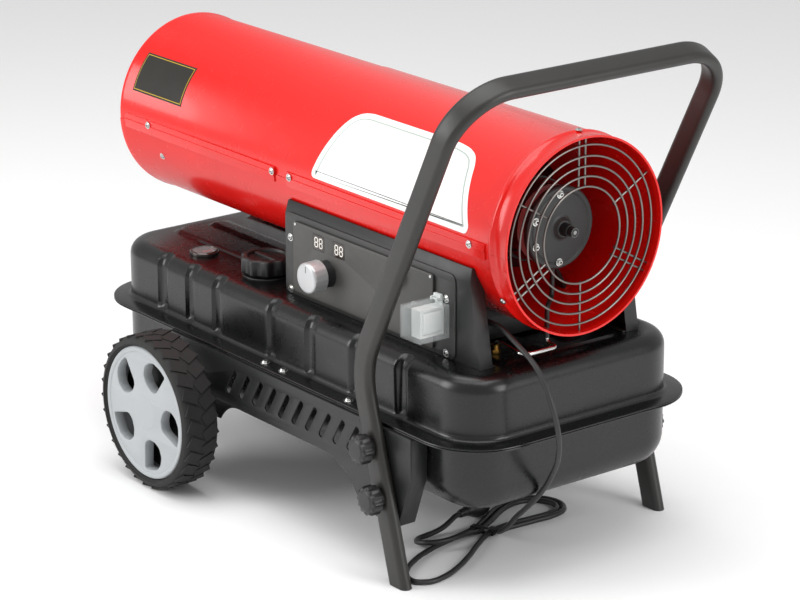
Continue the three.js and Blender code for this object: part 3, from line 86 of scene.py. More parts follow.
def finish(name, colour, roughness, metallic=0.0, grain=800, bump=0.1, clouds=9, shade=0.12,
           wear=0.08, coat=0.0, stretch=(1, 1, 1), alpha=1.0, specular=0.5, warm=None):
    material = bpy.data.materials.new(name)
    material.use_nodes = True
    tree = material.node_tree
    new, link = tree.nodes.new, tree.links.new
    shader = tree.nodes["Principled BSDF"]
    fill(shader, {"Metallic": metallic, "Specular IOR Level": specular, "Coat Weight": coat,
                  "Coat Roughness": 0.08, "Alpha": alpha})
    place, mapping = new("ShaderNodeTexCoord"), new("ShaderNodeMapping")
    fill(mapping, {"Scale": stretch})
    link(place.outputs["Object"], mapping.inputs["Vector"])

    def noise(scale, detail):
        node = new("ShaderNodeTexNoise")
        fill(node, {"Scale": scale, "Detail": detail})
        link(mapping.outputs["Vector"], node.inputs["Vector"])
        return node.outputs["Fac"]

    base = linear(colour)[:3]
    ramp = new("ShaderNodeValToRGB")
    dark, light = ramp.color_ramp.elements
    dark.position, light.position = 0.3, 0.72
    dark.color = [c * (1 - shade) for c in base] + [1]
    light.color = [min(1, c * (1 + shade * 0.6)) for c in base] + [1]
    link(noise(clouds, 4), ramp.inputs["Fac"])
    colourOut = ramp.outputs["Color"]
    if warm:  # heat tint that fades along X from one station to the next
        split, span, tint = (new("ShaderNode" + kind) for kind in ("SeparateXYZ", "MapRange", "Mix"))
        fill(span, {"From Min": warm["from"], "From Max": warm["to"]})
        tint.data_type = "RGBA"
        link(place.outputs["Object"], split.inputs["Vector"])
        link(split.outputs["X"], span.inputs["Value"])
        link(span.outputs["Result"], tint.inputs["Factor"])
        tint.inputs[6].default_value = linear(warm["colour"])
        link(colourOut, tint.inputs[7])
        colourOut = tint.outputs[2]
    link(colourOut, shader.inputs["Base Color"])
    rough = new("ShaderNodeMapRange")
    fill(rough, {"To Min": max(0.03, roughness - wear), "To Max": min(1, roughness + wear)})
    link(noise(clouds * 5, 5), rough.inputs["Value"])
    link(rough.outputs["Result"], shader.inputs["Roughness"])
    relief = new("ShaderNodeBump")
    fill(relief, {"Strength": bump, "Distance": 0.0004})
    link(noise(grain, 2), relief.inputs["Height"])
    link(relief.outputs["Normal"], shader.inputs["Normal"])
    return material


redEnamel = finish("red_enamel", "dc120c", 0.26, grain=260, bump=0.04, shade=0.05, wear=0.05, coat=0.25,
                   specular=0.4)
blackTank = finish("black_tank_enamel", "0a0b0c", 0.28, grain=420, bump=0.1, shade=0.2, wear=0.06)
bracketPaint = finish("bracket_enamel", "1b1c1c", 0.42, grain=900, bump=0.22, shade=0.15)
greyPaint = finish("cover_enamel", "313130", 0.44, grain=1500, bump=0.3, shade=0.1, clouds=20)
panelPaint = finish("panel_enamel", "484744", 0.5, grain=1700, bump=0.2, shade=0.07, clouds=16)
framePaint = finish("frame_powder_coat", "262523", 0.4, grain=1300, bump=0.25, shade=0.1, clouds=14)
darkMotor = finish("motor_enamel", "101112", 0.2, grain=500, bump=0.1, coat=0.3)
pumpPaint = finish("pump_cover_plastic", "2b2c2c", 0.5, grain=1400, bump=0.3)
bareSteel = finish("bare_steel", "9c9d9b", 0.36, 1, grain=300, bump=0.12, stretch=(0.2, 1, 1), wear=0.12)
hotSteel = finish("heat_tinted_steel", "9a9894", 0.4, 1, grain=280, bump=0.15, wear=0.14,
                  warm={"from": -0.5, "to": -0.2, "colour": "6f5f4c"})
brightWire = finish("bright_wire", "c9c9c6", 0.18, 1, grain=700, bump=0.05, wear=0.06)
guardWire = finish("guard_wire", "7f7c78", 0.3, 1, grain=700, bump=0.05, wear=0.06)
gaugeRim = finish("gauge_rim", "5c5755", 0.22, 0.8, grain=700, bump=0.05)
gaugeFace = finish("gauge_face", "2e1e1d", 0.35, grain=500, bump=0.04)
screwSteel = finish("zinc_screws", "d2d3d0", 0.25, 1, grain=900, bump=0.12, clouds=60)
brassMetal = finish("brass", "b08a45", 0.32, 1, grain=500, bump=0.1)
tyreRubber = finish("tyre_rubber", "1c1b1a", 0.72, grain=600, bump=0.4, shade=0.18, clouds=24)
hubPlastic = finish("wheel_plastic", "a8acae", 0.46, grain=1100, bump=0.12, shade=0.04)
blackPlastic = finish("moulded_black_plastic", "1d1d1d", 0.48, grain=1300, bump=0.35, shade=0.14)
knobPlastic = finish("knob_plastic", "191919", 0.38, grain=1200, bump=0.25)
palePlastic = finish("pale_plastic", "d7dcda", 0.4, grain=900, bump=0.1, shade=0.04)
silverKnob = finish("silver_knob", "c2c3c4", 0.34, 0.55, grain=600, bump=0.03, shade=0.03, wear=0.04)
boardGreen = finish("circuit_board", "2f5a3c", 0.45, grain=400, bump=0.3)
displayGlass = finish("display_window", "3a3230", 0.15, grain=500, bump=0.02)
digitGlow = finish("display_digits", "f4efe6", 0.4, grain=500, bump=0.02, shade=0.02)
clearPlastic = finish("clear_plastic", "e3eaea", 0.08, grain=300, bump=0.03, shade=0.02, wear=0.03,
                      alpha=0.15)
paleVinyl = finish("pale_vinyl_panel", "eef0ee", 0.3, grain=300, bump=0.03, shade=0.02, coat=0.3)
greyVinyl = finish("grey_vinyl_line", "a9b3ac", 0.3, grain=300, bump=0.03, shade=0.03)
darkVinyl = finish("dark_vinyl_plate", "1c1a14", 0.34, grain=300, bump=0.04, shade=0.06)
goldVinyl = finish("gold_vinyl_line", "c9a62a", 0.34, grain=300, bump=0.04, shade=0.05)
cordJacket = finish("cord_jacket", "242323", 0.45, grain=1600, bump=0.3, shade=0.08, clouds=40)
hosePlastic = finish("fuel_hose", "1c1b1b", 0.4, grain=500, bump=0.1)
# near-black painted shade for screw slots and bolt sockets, standing in for the shade inside those recesses
paintedShadeBlack = finish("painted_shade_black", "0c0c0c", 0.6, grain=700, bump=0.1)
needleRed = finish("needle_red", "c8261c", 0.4, grain=600, bump=0.05)
print("finishes mixed")


# mesh making
def linked(name, mesh):
    piece = bpy.data.objects.new(name, mesh)
    bpy.context.scene.collection.objects.link(piece)
    return piece


def evened(piece, material=None, angle=32, merge=1e-6):
    mesh = piece.data
    work = bmesh.new()
    work.from_mesh(mesh)
    if merge:
        bmesh.ops.remove_doubles(work, verts=work.verts, dist=merge)
    bmesh.ops.recalc_face_normals(work, faces=work.faces)
    limit = math.radians(angle)
    for face in work.faces:
        face.smooth = True
    for edge in work.edges:
        edge.smooth = len(edge.link_faces) == 2 and edge.calc_face_angle(4) < limit
    work.to_mesh(mesh)
    work.free()
    if material:
        mesh.materials.clear()
        mesh.materials.append(material)
    return piece


def meshPiece(name, points, faces, material, angle=32):
    mesh = bpy.data.meshes.new(name)
    mesh.from_pydata([tuple(p) for p in points], [], faces)
    return evened(linked(name, mesh), material, angle)


def baked(piece):
    graph = bpy.context.evaluated_depsgraph_get()
    mesh = bpy.data.meshes.new_from_object(piece.evaluated_get(graph))
    piece.modifiers.clear()
    if piece.type == "MESH":
        piece.data = mesh
        return piece
    name = piece.name
    bpy.data.objects.remove(piece)
    return linked(name, mesh)


def bevelled(piece, width, segments=2, angle=30):
    bevel = piece.modifiers.new("edges", "BEVEL")
    bevel.width, bevel.segments = width, segments
    bevel.limit_method, bevel.angle_limit = "ANGLE", math.radians(angle)
    bevel.use_clamp_overlap = True
    return evened(baked(piece), angle=38)


def softened(corners, radius, steps=3):
    # rounds each corner of a closed outline; corners on the axis stay sharp
    points = []
    for i, here in enumerate(corners):
        before, after = Vector(corners[i - 1]), Vector(corners[(i + 1) % len(corners)])
        here = Vector(here)
        reach = min(radius, 0.45 * (before - here).length, 0.45 * (after - here).length)
        if reach < 1e-6 or abs(here.x) < 1e-9:
            points.append(here)
            continue
        start = here + (before - here).normalized() * reach
        end = here + (after - here).normalized() * reach
        for k in range(steps + 1):
            t = k / steps
            points.append((1 - t) ** 2 * start + 2 * t * (1 - t) * here + t * t * end)
    return points


def onAxis(axis, origin, radius, along, angle):
    c, s = radius * math.cos(angle), radius * math.sin(angle)
    offset = {"x": (along, -c, s), "y": (c, along, s), "z": (c, s, along)}[axis]
    return Vector(origin) + Vector(offset)


def turned(name, axis, origin, profile, material, segments=96, start=0, sweep=360, soft=0.0, angle=32):
    outline = softened(profile, soft) if soft else [Vector(p) for p in profile]
    whole = sweep >= 360
    rows = segments if whole else segments + 1
    points, faces, n = [], [], len(outline)
    for i in range(rows):
        a = math.radians(start + sweep * i / segments)
        points += [onAxis(axis, origin, p.x, p.y, a) for p in outline]
    for i in range(rows if whole else rows - 1):
        j = (i + 1) % rows
        for k in range(n):
            m = (k + 1) % n
            if outline[k].x > 1e-9 or outline[m].x > 1e-9:
                faces.append((i * n + k, i * n + m, j * n + m, j * n + k))
    if not whole:
        faces += [tuple(range(n)), tuple(range((rows - 1) * n, rows * n))]
    return meshPiece(name, points, faces, material, angle)


def lofted(name, rings, material, angle=32, capped=True):
    n = len(rings[0])
    points = [p for ring in rings for p in ring]
    faces = [(i * n + k, i * n + (k + 1) % n, (i + 1) * n + (k + 1) % n, (i + 1) * n + k)
             for i in range(len(rings) - 1) for k in range(n)]
    if capped:
        faces += [tuple(range(n)), tuple(range((len(rings) - 1) * n, len(rings) * n))]
    return meshPiece(name, points, faces, material, angle)


def block(name, low, high, material, bevel=0.0008):
    x, y, z = zip(low, high)
    points = [(x[i], y[j], z[k]) for i in (0, 1) for j in (0, 1) for k in (0, 1)]
    faces = [(0, 1, 3, 2), (4, 6, 7, 5), (0, 4, 5, 1), (2, 3, 7, 6), (0, 2, 6, 4), (1, 5, 7, 3)]
    piece = meshPiece(name, points, faces, material)
    return bevelled(piece, bevel, 3) if bevel else piece


def smoothPath(points, parts):
    # dense points on a smooth curve through the given ones
    p = [Vector(q) for q in points]
    steps = [(b - a).length for a, b in zip(p, p[1:])]
    slopes = [(b - a) / s for a, b, s in zip(p, p[1:], steps)]
    tangents = [slopes[0]]
    for i in range(1, len(p) - 1):
        tangents.append((slopes[i - 1] * steps[i] + slopes[i] * steps[i - 1]) / (steps[i] + steps[i - 1]))
    tangents.append(slopes[-1])
    dense = []
    for i, h in enumerate(steps):
        for k in range(parts):
            t = k / parts
            dense.append(p[i] * (2 * t ** 3 - 3 * t * t + 1) + tangents[i] * h * (t ** 3 - 2 * t * t + t)
                         + p[i + 1] * (3 * t * t - 2 * t ** 3) + tangents[i + 1] * h * (t ** 3 - t * t))
    return dense + [p[-1]]


def roundedRoute(corners, radii, parts=8):
    points = [Vector(corners[0])]
    for i, radius in enumerate(radii, 1):
        before, here, after = (Vector(corners[k]) for k in (i - 1, i, i + 1))
        inward, outward = (here - before).normalized(), (after - here).normalized()
        turn = inward.angle(outward)
        reach = radius * math.tan(turn / 2)
        side = (outward - inward * outward.dot(inward)).normalized()
        centre = here - inward * reach + side * radius
        for k in range(parts + 1):
            a = turn * k / parts
            points.append(centre - side * radius * math.cos(a) + inward * radius * math.sin(a))
    return points + [Vector(corners[-1])]


def sweptTube(name, path, section, normal, material, angle=32):
    # the section is carried along the path without twist
    path = [Vector(p) for p in path]
    normal = Vector(normal)
    rings = []
    for i, here in enumerate(path):
        ahead = (path[min(i + 1, len(path) - 1)] - path[max(i - 1, 0)]).normalized()
        normal = (normal - ahead * normal.dot(ahead)).normalized()
        side = ahead.cross(normal)
        rings.append([here + normal * u + side * v for u, v in section])
    return lofted(name, rings, material, angle)


def circle(radius, count):
    return [(radius * math.cos(2 * math.pi * k / count), radius * math.sin(2 * math.pi * k / count))
            for k in range(count)]


def cutSheet(name, outlines, low, high, bevel, material):
    # flat sheet in X and Z with holes, from one Y to the other
    data = bpy.data.curves.new(name, "CURVE")
    data.dimensions, data.fill_mode = "2D", "BOTH"
    for outline in outlines:
        spline = data.splines.new("POLY")
        spline.points.add(len(outline) - 1)
        for point, (x, z) in zip(spline.points, outline):
            point.co = (x, z, 0, 1)
        spline.use_cyclic_u = True
    data.extrude = (high - low) / 2 - bevel
    data.bevel_depth, data.bevel_resolution = bevel, 1
    data.offset = -bevel
    piece = baked(linked(name, data))
    piece.data.transform(Matrix(((1, 0, 0, 0), (0, 0, -1, (low + high) / 2), (0, 1, 0, 0), (0, 0, 0, 1))))
    return evened(piece, material, merge=1e-5)


def joined(name, pieces):
    with bpy.context.temp_override(active_object=pieces[0], selected_editable_objects=pieces):
        bpy.ops.object.join()
    pieces[0].name = name
    return pieces[0]


def flipped(piece):
    # to the other side of the part
    piece.data.transform(Matrix.Diagonal((1, -1, 1, 1)))
    piece.data.flip_normals()
    return piece


def extruded(name, ring, low, high, material, angle=32):
    # closed outline of X and Z carried from one Y to the other
    n = len(ring)
    points = [(x, y, z) for y in (low, high) for x, z in ring]
    faces = [tuple(range(n)), tuple(range(n, 2 * n))]
    faces += [(k, (k + 1) % n, (k + 1) % n + n, k + n) for k in range(n)]
    return meshPiece(name, points, faces, material, angle)


def placed(piece, body, slotName, *nodes):
    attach(piece, body)
    if nodes:
        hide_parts(*nodes)
    return piece


def arc(centre, radius, start, end, steps=8):
    return [(centre[0] + radius * math.cos(math.radians(start + (end - start) * k / steps)),
             centre[1] + radius * math.sin(math.radians(start + (end - start) * k / steps)))
            for k in range(steps + 1)]


def roundRectangle(lowX, lowZ, highX, highZ, radius, steps=6):
    return (arc((highX - radius, lowZ + radius), radius, -90, 0, steps)
            + arc((highX - radius, highZ - radius), radius, 0, 90, steps)
            + arc((lowX + radius, highZ - radius), radius, 90, 180, steps)
            + arc((lowX + radius, lowZ + radius), radius, 180, 270, steps))


# the power cord, its loops on the floor, and its plug
cordForm = {
    "diameter": 0.0084,
    "lead": [(0.4123, -0.112, 0.392), (0.422, -0.112, 0.3918), (0.436, -0.112, 0.3886),
             (0.452, -0.112, 0.382),
             (0.470, -0.112, 0.374), (0.489, -0.112, 0.365), (0.508, -0.112, 0.3535), (0.523, -0.112, 0.339),
             (0.536, -0.112, 0.322), (0.546, -0.1115, 0.303), (0.5525, -0.109, 0.280),
             (0.554, -0.1055, 0.257),
             (0.549, -0.100, 0.233), (0.537, -0.093, 0.208), (0.518, -0.086, 0.182), (0.496, -0.078, 0.157),
             (0.470, -0.069, 0.132), (0.442, -0.060, 0.1075), (0.413, -0.051, 0.084), (0.385, -0.042, 0.062),
             (0.362, -0.035, 0.041), (0.342, -0.029, 0.025), (0.325, -0.024, 0.014), (0.3155, -0.0175, 0.009),
             (0.309, -0.008, 0.0062), (0.3058, 0.002, 0.0049)],
    "tail": [(0.2925, -0.053, 0.0085), (0.298, -0.070, 0.0126), (0.302, -0.090, 0.0144),
             (0.3025, -0.110, 0.0144),
             (0.2975, -0.128, 0.014), (0.283, -0.141, 0.0115), (0.266, -0.140, 0.0075),
             (0.254, -0.128, 0.0052),
             (0.2503, -0.111, 0.0047), (0.250, -0.094, 0.0056), (0.2495, -0.078, 0.0085),
             (0.247, -0.064, 0.0122),
             (0.244, -0.053, 0.0154), (0.241, -0.0446, 0.0171), (0.239, -0.036, 0.0172)],
    "middle": (0.289, -0.026), "rightReach": (-0.032, 0.149), "leftReach": (0.090, -0.197),
    "halfPinch": 0.006, "pitch": 0.0112, "turns": 1.5, "steps": 24, "height": 0.0045,
}


def bowPoint(form, t):
    c, s = math.cos(t), -math.sin(t)
    right, left = Vector(form["rightReach"]), Vector(form["leftReach"])
    half, bend = (right - left) / 2, (right + left) / 2
    across = Vector((half.y, -half.x)) / half.length
    spread = math.sqrt(c * c + 0.06) - math.sqrt(0.06)
    width = form["halfPinch"] + (0.070 + 0.008 * c + 0.010 * s * c * (1 + c)) * spread
    return Vector(form["middle"]) + c * half + c * c * bend + across * (s * width + 0.003 * c ** 3)


def loopPoints(form):
    points = []
    for i in range(round(form["turns"] * form["steps"])):
        t = math.pi * 1.5 + (i + 1) * 2 * math.pi / form["steps"]
        here, along = bowPoint(form, t), bowPoint(form, t + 0.01) - bowPoint(form, t - 0.01)
        offset = form["pitch"] * (form["turns"] - (i + 1) / form["steps"]) / along.length
        points.append(Vector((here.x + along.y * offset, here.y - along.x * offset, form["height"])))
    return points


def cordRoute(form):
    loops = loopPoints(form)
    heading = (loops[1] - loops[0]).normalized()
    leaving = (loops[-1] - loops[-2]).normalized()
    return smoothPath(form["lead"] + [loops[0] - heading * 0.009] + loops
                      + [loops[-1] + leaving * form["diameter"]] + form["tail"], 5)


def makeCord(form):
    route = cordRoute(form)
    data = bpy.data.curves.new("power_lead", "CURVE")
    data.dimensions = "3D"
    spline = data.splines.new("POLY")
    spline.points.add(len(route) - 1)
    for point, place in zip(spline.points, route):
        point.co = (*place, 1)
    data.bevel_depth, data.bevel_resolution = form["diameter"] / 2, 4
    spline.use_smooth = True
    data.materials.append(cordJacket)
    return linked("power_lead", data), route


plugForm = {
    "start": (0.239, -0.036, 0.0172), "heading": 103,
    "profile": [(0, 0), (0.0052, 0), (0.0068, 0.005), (0.0056, 0.0075), (0.0072, 0.010), (0.006, 0.0125),
                (0.0078, 0.015), (0.0066, 0.0175), (0.0085, 0.020), (0.0105, 0.026), (0.0135, 0.031),
                (0.0168, 0.040), (0.0168, 0.058), (0.0148, 0.060), (0, 0.060)],
    "pinRadius": 0.0024, "pinPitch": 0.019, "pinLength": 0.019,
}


def makePlug(form):
    body = turned("plug", "x", (0, 0, 0), form["profile"], blackPlastic, 40, soft=0.0012)
    grips = [block("grip", (0.042 + 0.0035 * i, side * 0.0163 - 0.0009, -0.007),
                   (0.0435 + 0.0035 * i, side * 0.0163 + 0.0009, 0.007), blackPlastic, 0.0004)
             for i in range(4) for side in (-1, 1)]
    pins = [turned("pin", "x", (0.059, side * form["pinPitch"] / 2, 0),
                   [(0, 0), (form["pinRadius"], 0), (form["pinRadius"], form["pinLength"]),
                    (form["pinRadius"] * 0.5, form["pinLength"] + 0.0009), (0, form["pinLength"] + 0.0009)],
                   screwSteel, 20) for side in (-1, 1)]
    plug = joined("mains_plug", [body, *grips, *pins])
    plug.data.transform(Matrix.Translation(form["start"]) @ Matrix.Rotation(math.radians(form["heading"]), 4,
                                                                            "Z"))
    return placed(plug, chassis, "black plastic", "power_plug")


glandForm = {
    "origin": (0, -0.112, 0.392),
    "profile": [(0, 0.347), (0.006, 0.347), (0.006, 0.3553), (0.009, 0.3553), (0.009, 0.365), (0.0062, 0.366),
                (0.0068, 0.368), (0.006, 0.372), (0.0066, 0.375), (0.0058, 0.379), (0.0064, 0.382),
                (0.0056, 0.386), (0.0061, 0.389), (0.0052, 0.394), (0.0048, 0.402), (0.0046, 0.412),
                (0, 0.412)],
}


def makeTie():
    # flat strap round the middle of the loops
    strap = [(-0.024, 0.0004), (0.019, 0.0004), (0.019, 0.0072), (0.016, 0.0102), (-0.021, 0.0102),
             (-0.024, 0.0072)]
    inner = [(-0.0229, 0.0015), (0.0179, 0.0015), (0.0179, 0.0068), (0.0155, 0.0091), (-0.0205, 0.0091),
             (-0.0229, 0.0068)]
    band = cutSheet("band", [softened(strap, 0.002), softened(inner, 0.0016)], -0.004, 0.004, 0.0003,
                    blackPlastic)
    clasp = block("clasp", (0.0105, -0.0048, 0.0096), (0.0165, 0.0048, 0.0132), blackPlastic)
    tie = joined("cord_strap", [band, clasp])
    tie.data.transform(Matrix.Translation((*cordForm["middle"], 0)) @ Matrix.Rotation(math.radians(19), 4,
                                                                                      "Z"))
    return placed(tie, chassis, "black plastic", "cord_tie")


powerLead, cordLine = makeCord(cordForm)
placed(powerLead, chassis, "cord jacket", "power_cord", "cord_hank", "cord_tail")
gland = turned("cord_grommet", "x", glandForm["origin"], glandForm["profile"], blackPlastic, 32, soft=0.0008)
placed(gland, chassis, "black plastic", "cord_gland")
cordLength = sum((b - a).length for a, b in zip(cordLine, cordLine[1:]))
makePlug(plugForm)
makeTie()
print("cord laid", round(cordLength, 3), "m")


class Tree:
    # a Geometry Nodes tree; every step adds one node, sets or links its inputs, and gives an output
    def __init__(self, name, sockets):
        self.group = bpy.data.node_groups.new(name, "GeometryNodeTree")
        face = self.group.interface
        for label, kind in (("Geometry", "Geometry"), *sockets):
            face.new_socket(label, in_out="INPUT", socket_type="NodeSocket" + kind)
        face.new_socket("Geometry", in_out="OUTPUT", socket_type="NodeSocketGeometry")
        self.given = self.group.nodes.new("NodeGroupInput").outputs

    def step(self, kind, inputs, output=0, **settings):
        node = self.group.nodes.new(kind)
        for key, value in settings.items():
            setattr(node, key, value)
        for label, value in inputs.items():
            if isinstance(value, bpy.types.NodeSocket):
                self.group.links.new(value, node.inputs[label])
            else:
                node.inputs[label].default_value = value
        return node.outputs[output]

    def scaled(self, socket, factor):
        return self.step("ShaderNodeMath", {0: socket, 1: factor}, operation="MULTIPLY")

    def vector(self, x=0, y=0, z=0):
        return self.step("ShaderNodeCombineXYZ", {"X": x, "Y": y, "Z": z})

    def gathered(self, parts):
        node = self.group.nodes.new("GeometryNodeJoinGeometry")
        for part in parts:
            self.group.links.new(part, node.inputs[0])
        return node.outputs[0]

    def painted(self, geometry, material):
        return self.step("GeometryNodeSetMaterial", {"Geometry": geometry, "Material": material})

    def made(self, geometry):
        return self.step("GeometryNodeRealizeInstances", {"Geometry": geometry})

    def ended(self, geometry):
        self.group.links.new(geometry, self.group.nodes.new("NodeGroupOutput").inputs[0])
        return self.group


# screws: one tree puts a head on its washer at every point, facing as the point says
def screwTree():
    tree = Tree("screw heads", (("Head radius", "Float"), ("Head height", "Float"),
                                ("Washer radius", "Float"),
                                ("Sides", "Int"), ("Metal", "Material"), ("Slot painted shade", "Material")))
    given, scaled = tree.given, tree.scaled
    radius, height = given["Head radius"], given["Head height"]

    def raised(mesh, share):
        lift = tree.vector(z=scaled(height, share))
        return tree.step("GeometryNodeTransform", {"Geometry": mesh, "Translation": lift})

    head = tree.step("GeometryNodeMeshCone", {"Vertices": given["Sides"], "Radius Top": scaled(radius, 0.72),
                                              "Radius Bottom": radius, "Depth": height})
    washer = tree.step("GeometryNodeMeshCylinder", {"Vertices": 28, "Radius": given["Washer radius"],
                                                    "Depth": scaled(height, 0.3)})
    # the cross slot is raised bars in near-black: painted shade for the slot's recess, which is not cut
    cross = []
    for long, short in ((1.0, 0.24), (0.24, 1.0)):
        size = tree.vector(scaled(radius, long), scaled(radius, short), scaled(height, 0.1))
        cross.append(raised(tree.step("GeometryNodeMeshCube", {"Size": size}), 1.27))
    metal = tree.painted(tree.gathered([raised(washer, 0.15), raised(head, 0.27)]), given["Metal"])
    dark = tree.painted(tree.gathered(cross), given["Slot painted shade"])
    facing = tree.step("GeometryNodeInputNamedAttribute", {"Name": "facing"}, "Attribute",
                       data_type="FLOAT_VECTOR")
    turn = tree.step("FunctionNodeAlignRotationToVector", {"Vector": facing}, axis="Z")
    put = tree.step("GeometryNodeInstanceOnPoints", {
        "Points": given["Geometry"], "Instance": tree.gathered([metal, dark]), "Rotation": turn})
    return tree.ended(tree.made(put))


def withNodes(piece, tree, values):
    modifier = piece.modifiers.new(tree.name, "NODES")
    modifier.node_group = tree
    sockets = {item.name: item.identifier for item in tree.interface.items_tree if item.in_out == "INPUT"}
    for label, value in values.items():
        modifier[sockets[label]] = value
    return baked(piece)


screwHeads = screwTree()


def screws(name, places, radius, height, nodes=()):
    # places are pairs of a point and the way the head faces
    mesh = bpy.data.meshes.new(name)
    mesh.from_pydata([tuple(p) for p, _ in places], [], [])
    facing = mesh.attributes.new("facing", "FLOAT_VECTOR", "POINT")
    for item, (_, way) in zip(facing.data, places):
        item.vector = Vector(way).normalized()
    piece = withNodes(linked(name, mesh), screwHeads, {
        "Head radius": radius, "Head height": height, "Washer radius": radius * 1.3, "Sides": 20,
        "Metal": screwSteel, "Slot painted shade": paintedShadeBlack})
    return placed(evened(piece, merge=0), chassis, "bright metal", *nodes)


# heating tunnel: two upper shells on one lower shell, with bands along the joint
tunnel = {
    "centre": (0, 0, 0.522), "back": -0.525, "front": 0.485, "seam": -0.050,
    "radius": 0.149, "frontRadius": 0.1478, "sheet": 0.002, "split": 0.515,
    "bead": 0.451, "beadWidth": 0.016, "beadRise": 0.003, "lipWidth": 0.008, "lipRise": 0.0016,
    "bandSteps": ((0.503, 0.5128, 0.0022), (0.5128, 0.5175, 0.0032), (0.5175, 0.527, 0.0022)),
}


def angleAt(height, radius):
    return math.degrees(math.asin((height - tunnel["centre"][2]) / radius))


def shellProfile(low, high, radius, bead, lip):
    t = tunnel
    outer = []
    if lip:
        outer += [(radius + t["lipRise"], low), (radius + t["lipRise"], low + t["lipWidth"]),
                  (radius, low + t["lipWidth"] + 0.003)]
    else:
        outer += [(radius, low)]
    if bead:
        for k in range(9):
            share = k / 8
            outer.append((radius + t["beadRise"] * math.sin(math.pi * share) ** 1.5,
                          t["bead"] + (share - 0.5) * t["beadWidth"]))
        outer += [(radius, high - 0.006), (radius + 0.0012, high - 0.003), (radius + 0.0012, high)]
    else:
        outer.append((radius, high))
    return outer + [(radius - t["sheet"], high), (radius - t["sheet"], low)]


def bands(low, high, radius):
    # stepped strips along both joints of the shells
    t = tunnel
    strips = []
    for lowZ, highZ, rise in t["bandSteps"]:
        outer = t["radius"] + rise
        a, b = angleAt(lowZ, outer), angleAt(highZ, outer)
        rim = [(radius - 0.0006, low), (outer, low), (outer, high), (radius - 0.0006, high)]
        strips += [turned("band", "x", t["centre"], rim, redEnamel, 8, start, b - a, soft=0.0006)
                   for start in (a, 180 - b)]
    return strips


def makeTunnel(t):
    a = angleAt(t["split"], t["radius"])

    def shell(name, profile, start, sweep):
        return turned(name, "x", t["centre"], profile, redEnamel, 150, start, sweep)

    front = shell("front_cover", shellProfile(t["back"], t["seam"] - 0.0004, t["frontRadius"], False, True),
                  a, 180 - 2 * a)
    frontBands = bands(t["back"] + 0.016, t["seam"] - 0.032, t["frontRadius"])
    placed(joined("front_cover", [front, *frontBands]), chassis, "red enamel", "front_shell")
    rear = shell("rear_cover", shellProfile(t["seam"], t["front"], t["radius"], True, False), a, 180 - 2 * a)
    rearBands = bands(t["seam"] + 0.001, t["front"] - 0.048, t["radius"])
    placed(joined("rear_cover", [rear, *rearBands]), chassis, "red enamel", "rear_shell")
    lower = shell("lower_cover", shellProfile(t["back"], t["front"], t["radius"] - 0.0003, True, True),
                  180 - a + 0.15, 180 + 2 * a - 0.3)
    placed(lower, chassis, "red enamel", "lower_shell")


def onShell(x, angle, lift=0.0, radius=None):
    a = math.radians(angle)
    r = (radius or tunnel["radius"]) + lift
    way = Vector((0, -math.cos(a), math.sin(a)))
    return Vector(tunnel["centre"]) + way * r + Vector((x, 0, 0)), way


makeTunnel(tunnel)
screwAngle = angleAt(0.5195, 0.152)
bandScrews = [onShell(x, angle, 0.003) for x in (-0.438, -0.086, -0.040, 0.404)
              for angle in (screwAngle, 180 - screwAngle)]
screws("band_screws", bandScrews, 0.0046, 0.0024)
ringScrews = [onShell(0.454, angle, 0.0026) for angle in (94, -32, 212, -88)]
ringScrews += [onShell(-0.415, angle) for angle in (-20.5, 200.5)]
screws("ring_screws", ringScrews, 0.0044, 0.0022)
print("tunnel rolled")


# vinyl panels on the shells; both are plain. Points are a station on X and an angle in degrees
vinyl = {
    "arcLength": math.radians(1) * tunnel["radius"],
    "plate": [(-0.497, 17.4), (-0.355, 17.4), (-0.355, 44.0), (-0.497, 44.0)],
    "panel": [(0.0205, 4.0), (0.392, 3.6), (0.3975, 7.5), (0.384, 22.0), (0.3715, 36.5), (0.366, 42.5),
              (0.355, 48.0),
              (0.337, 51.0), (0.310, 52.5), (0.100, 52.5), (0.080, 51.0), (0.064, 46.5), (0.052, 39.0),
              (0.0155, 8.0),
              (0.0155, 5.0)],
}


def wrapped(name, outline, lift, material, radius):
    # fills an outline of station and angle with a fine grid on the shell
    work = bmesh.new()
    work.faces.new([work.verts.new((x, a / 100, 0)) for x, a in outline])
    low, high = (f(a for _, a in outline) / 100 for f in (min, max))
    count = 26
    for k in range(1, count):
        cutAt = low + (high - low) * k / count
        bmesh.ops.bisect_plane(work, geom=work.verts[:] + work.edges[:] + work.faces[:],
                               plane_co=(0, cutAt, 0), plane_no=(0, 1, 0))
    for vertex in work.verts:
        vertex.co = onShell(vertex.co.x, vertex.co.y * 100, lift, radius)[0]
    mesh = bpy.data.meshes.new(name)
    work.to_mesh(mesh)
    work.free()
    piece = linked(name, mesh)
    thick = piece.modifiers.new("thickness", "SOLIDIFY")
    thick.thickness, thick.offset = 0.0003, 0
    return evened(baked(piece), material)


def shrunk(outline, inset):
    # outline moved inwards by a distance in metres; angles count by their arc
    flat = [Vector((x, a * vinyl["arcLength"])) for x, a in outline]
    centre = sum(flat, Vector((0, 0))) / len(flat)
    moved = []
    for i, here in enumerate(flat):
        before, after = flat[i - 1], flat[(i + 1) % len(flat)]
        ways = [Vector((-d.y, d.x)).normalized() for d in (here - before, after - here)]
        way = (ways[0] + ways[1]).normalized()
        if way.dot(centre - here) < 0:
            way = -way
        moved.append(here + way * inset)
    return [(p.x, p.y / vinyl["arcLength"]) for p in moved]


def makeVinyl(name, outline, line, field, ground, edging, slotName, radius):
    # the ground, a fine line some way in, and the field inside the line
    layers = ((outline, 0.0002, ground), (shrunk(outline, line), 0.0004, edging),
              (shrunk(outline, field), 0.0006, ground))
    pieces = [wrapped(name, shape, lift, material, radius) for shape, lift, material in layers]
    placed(joined(name, pieces), chassis, slotName)


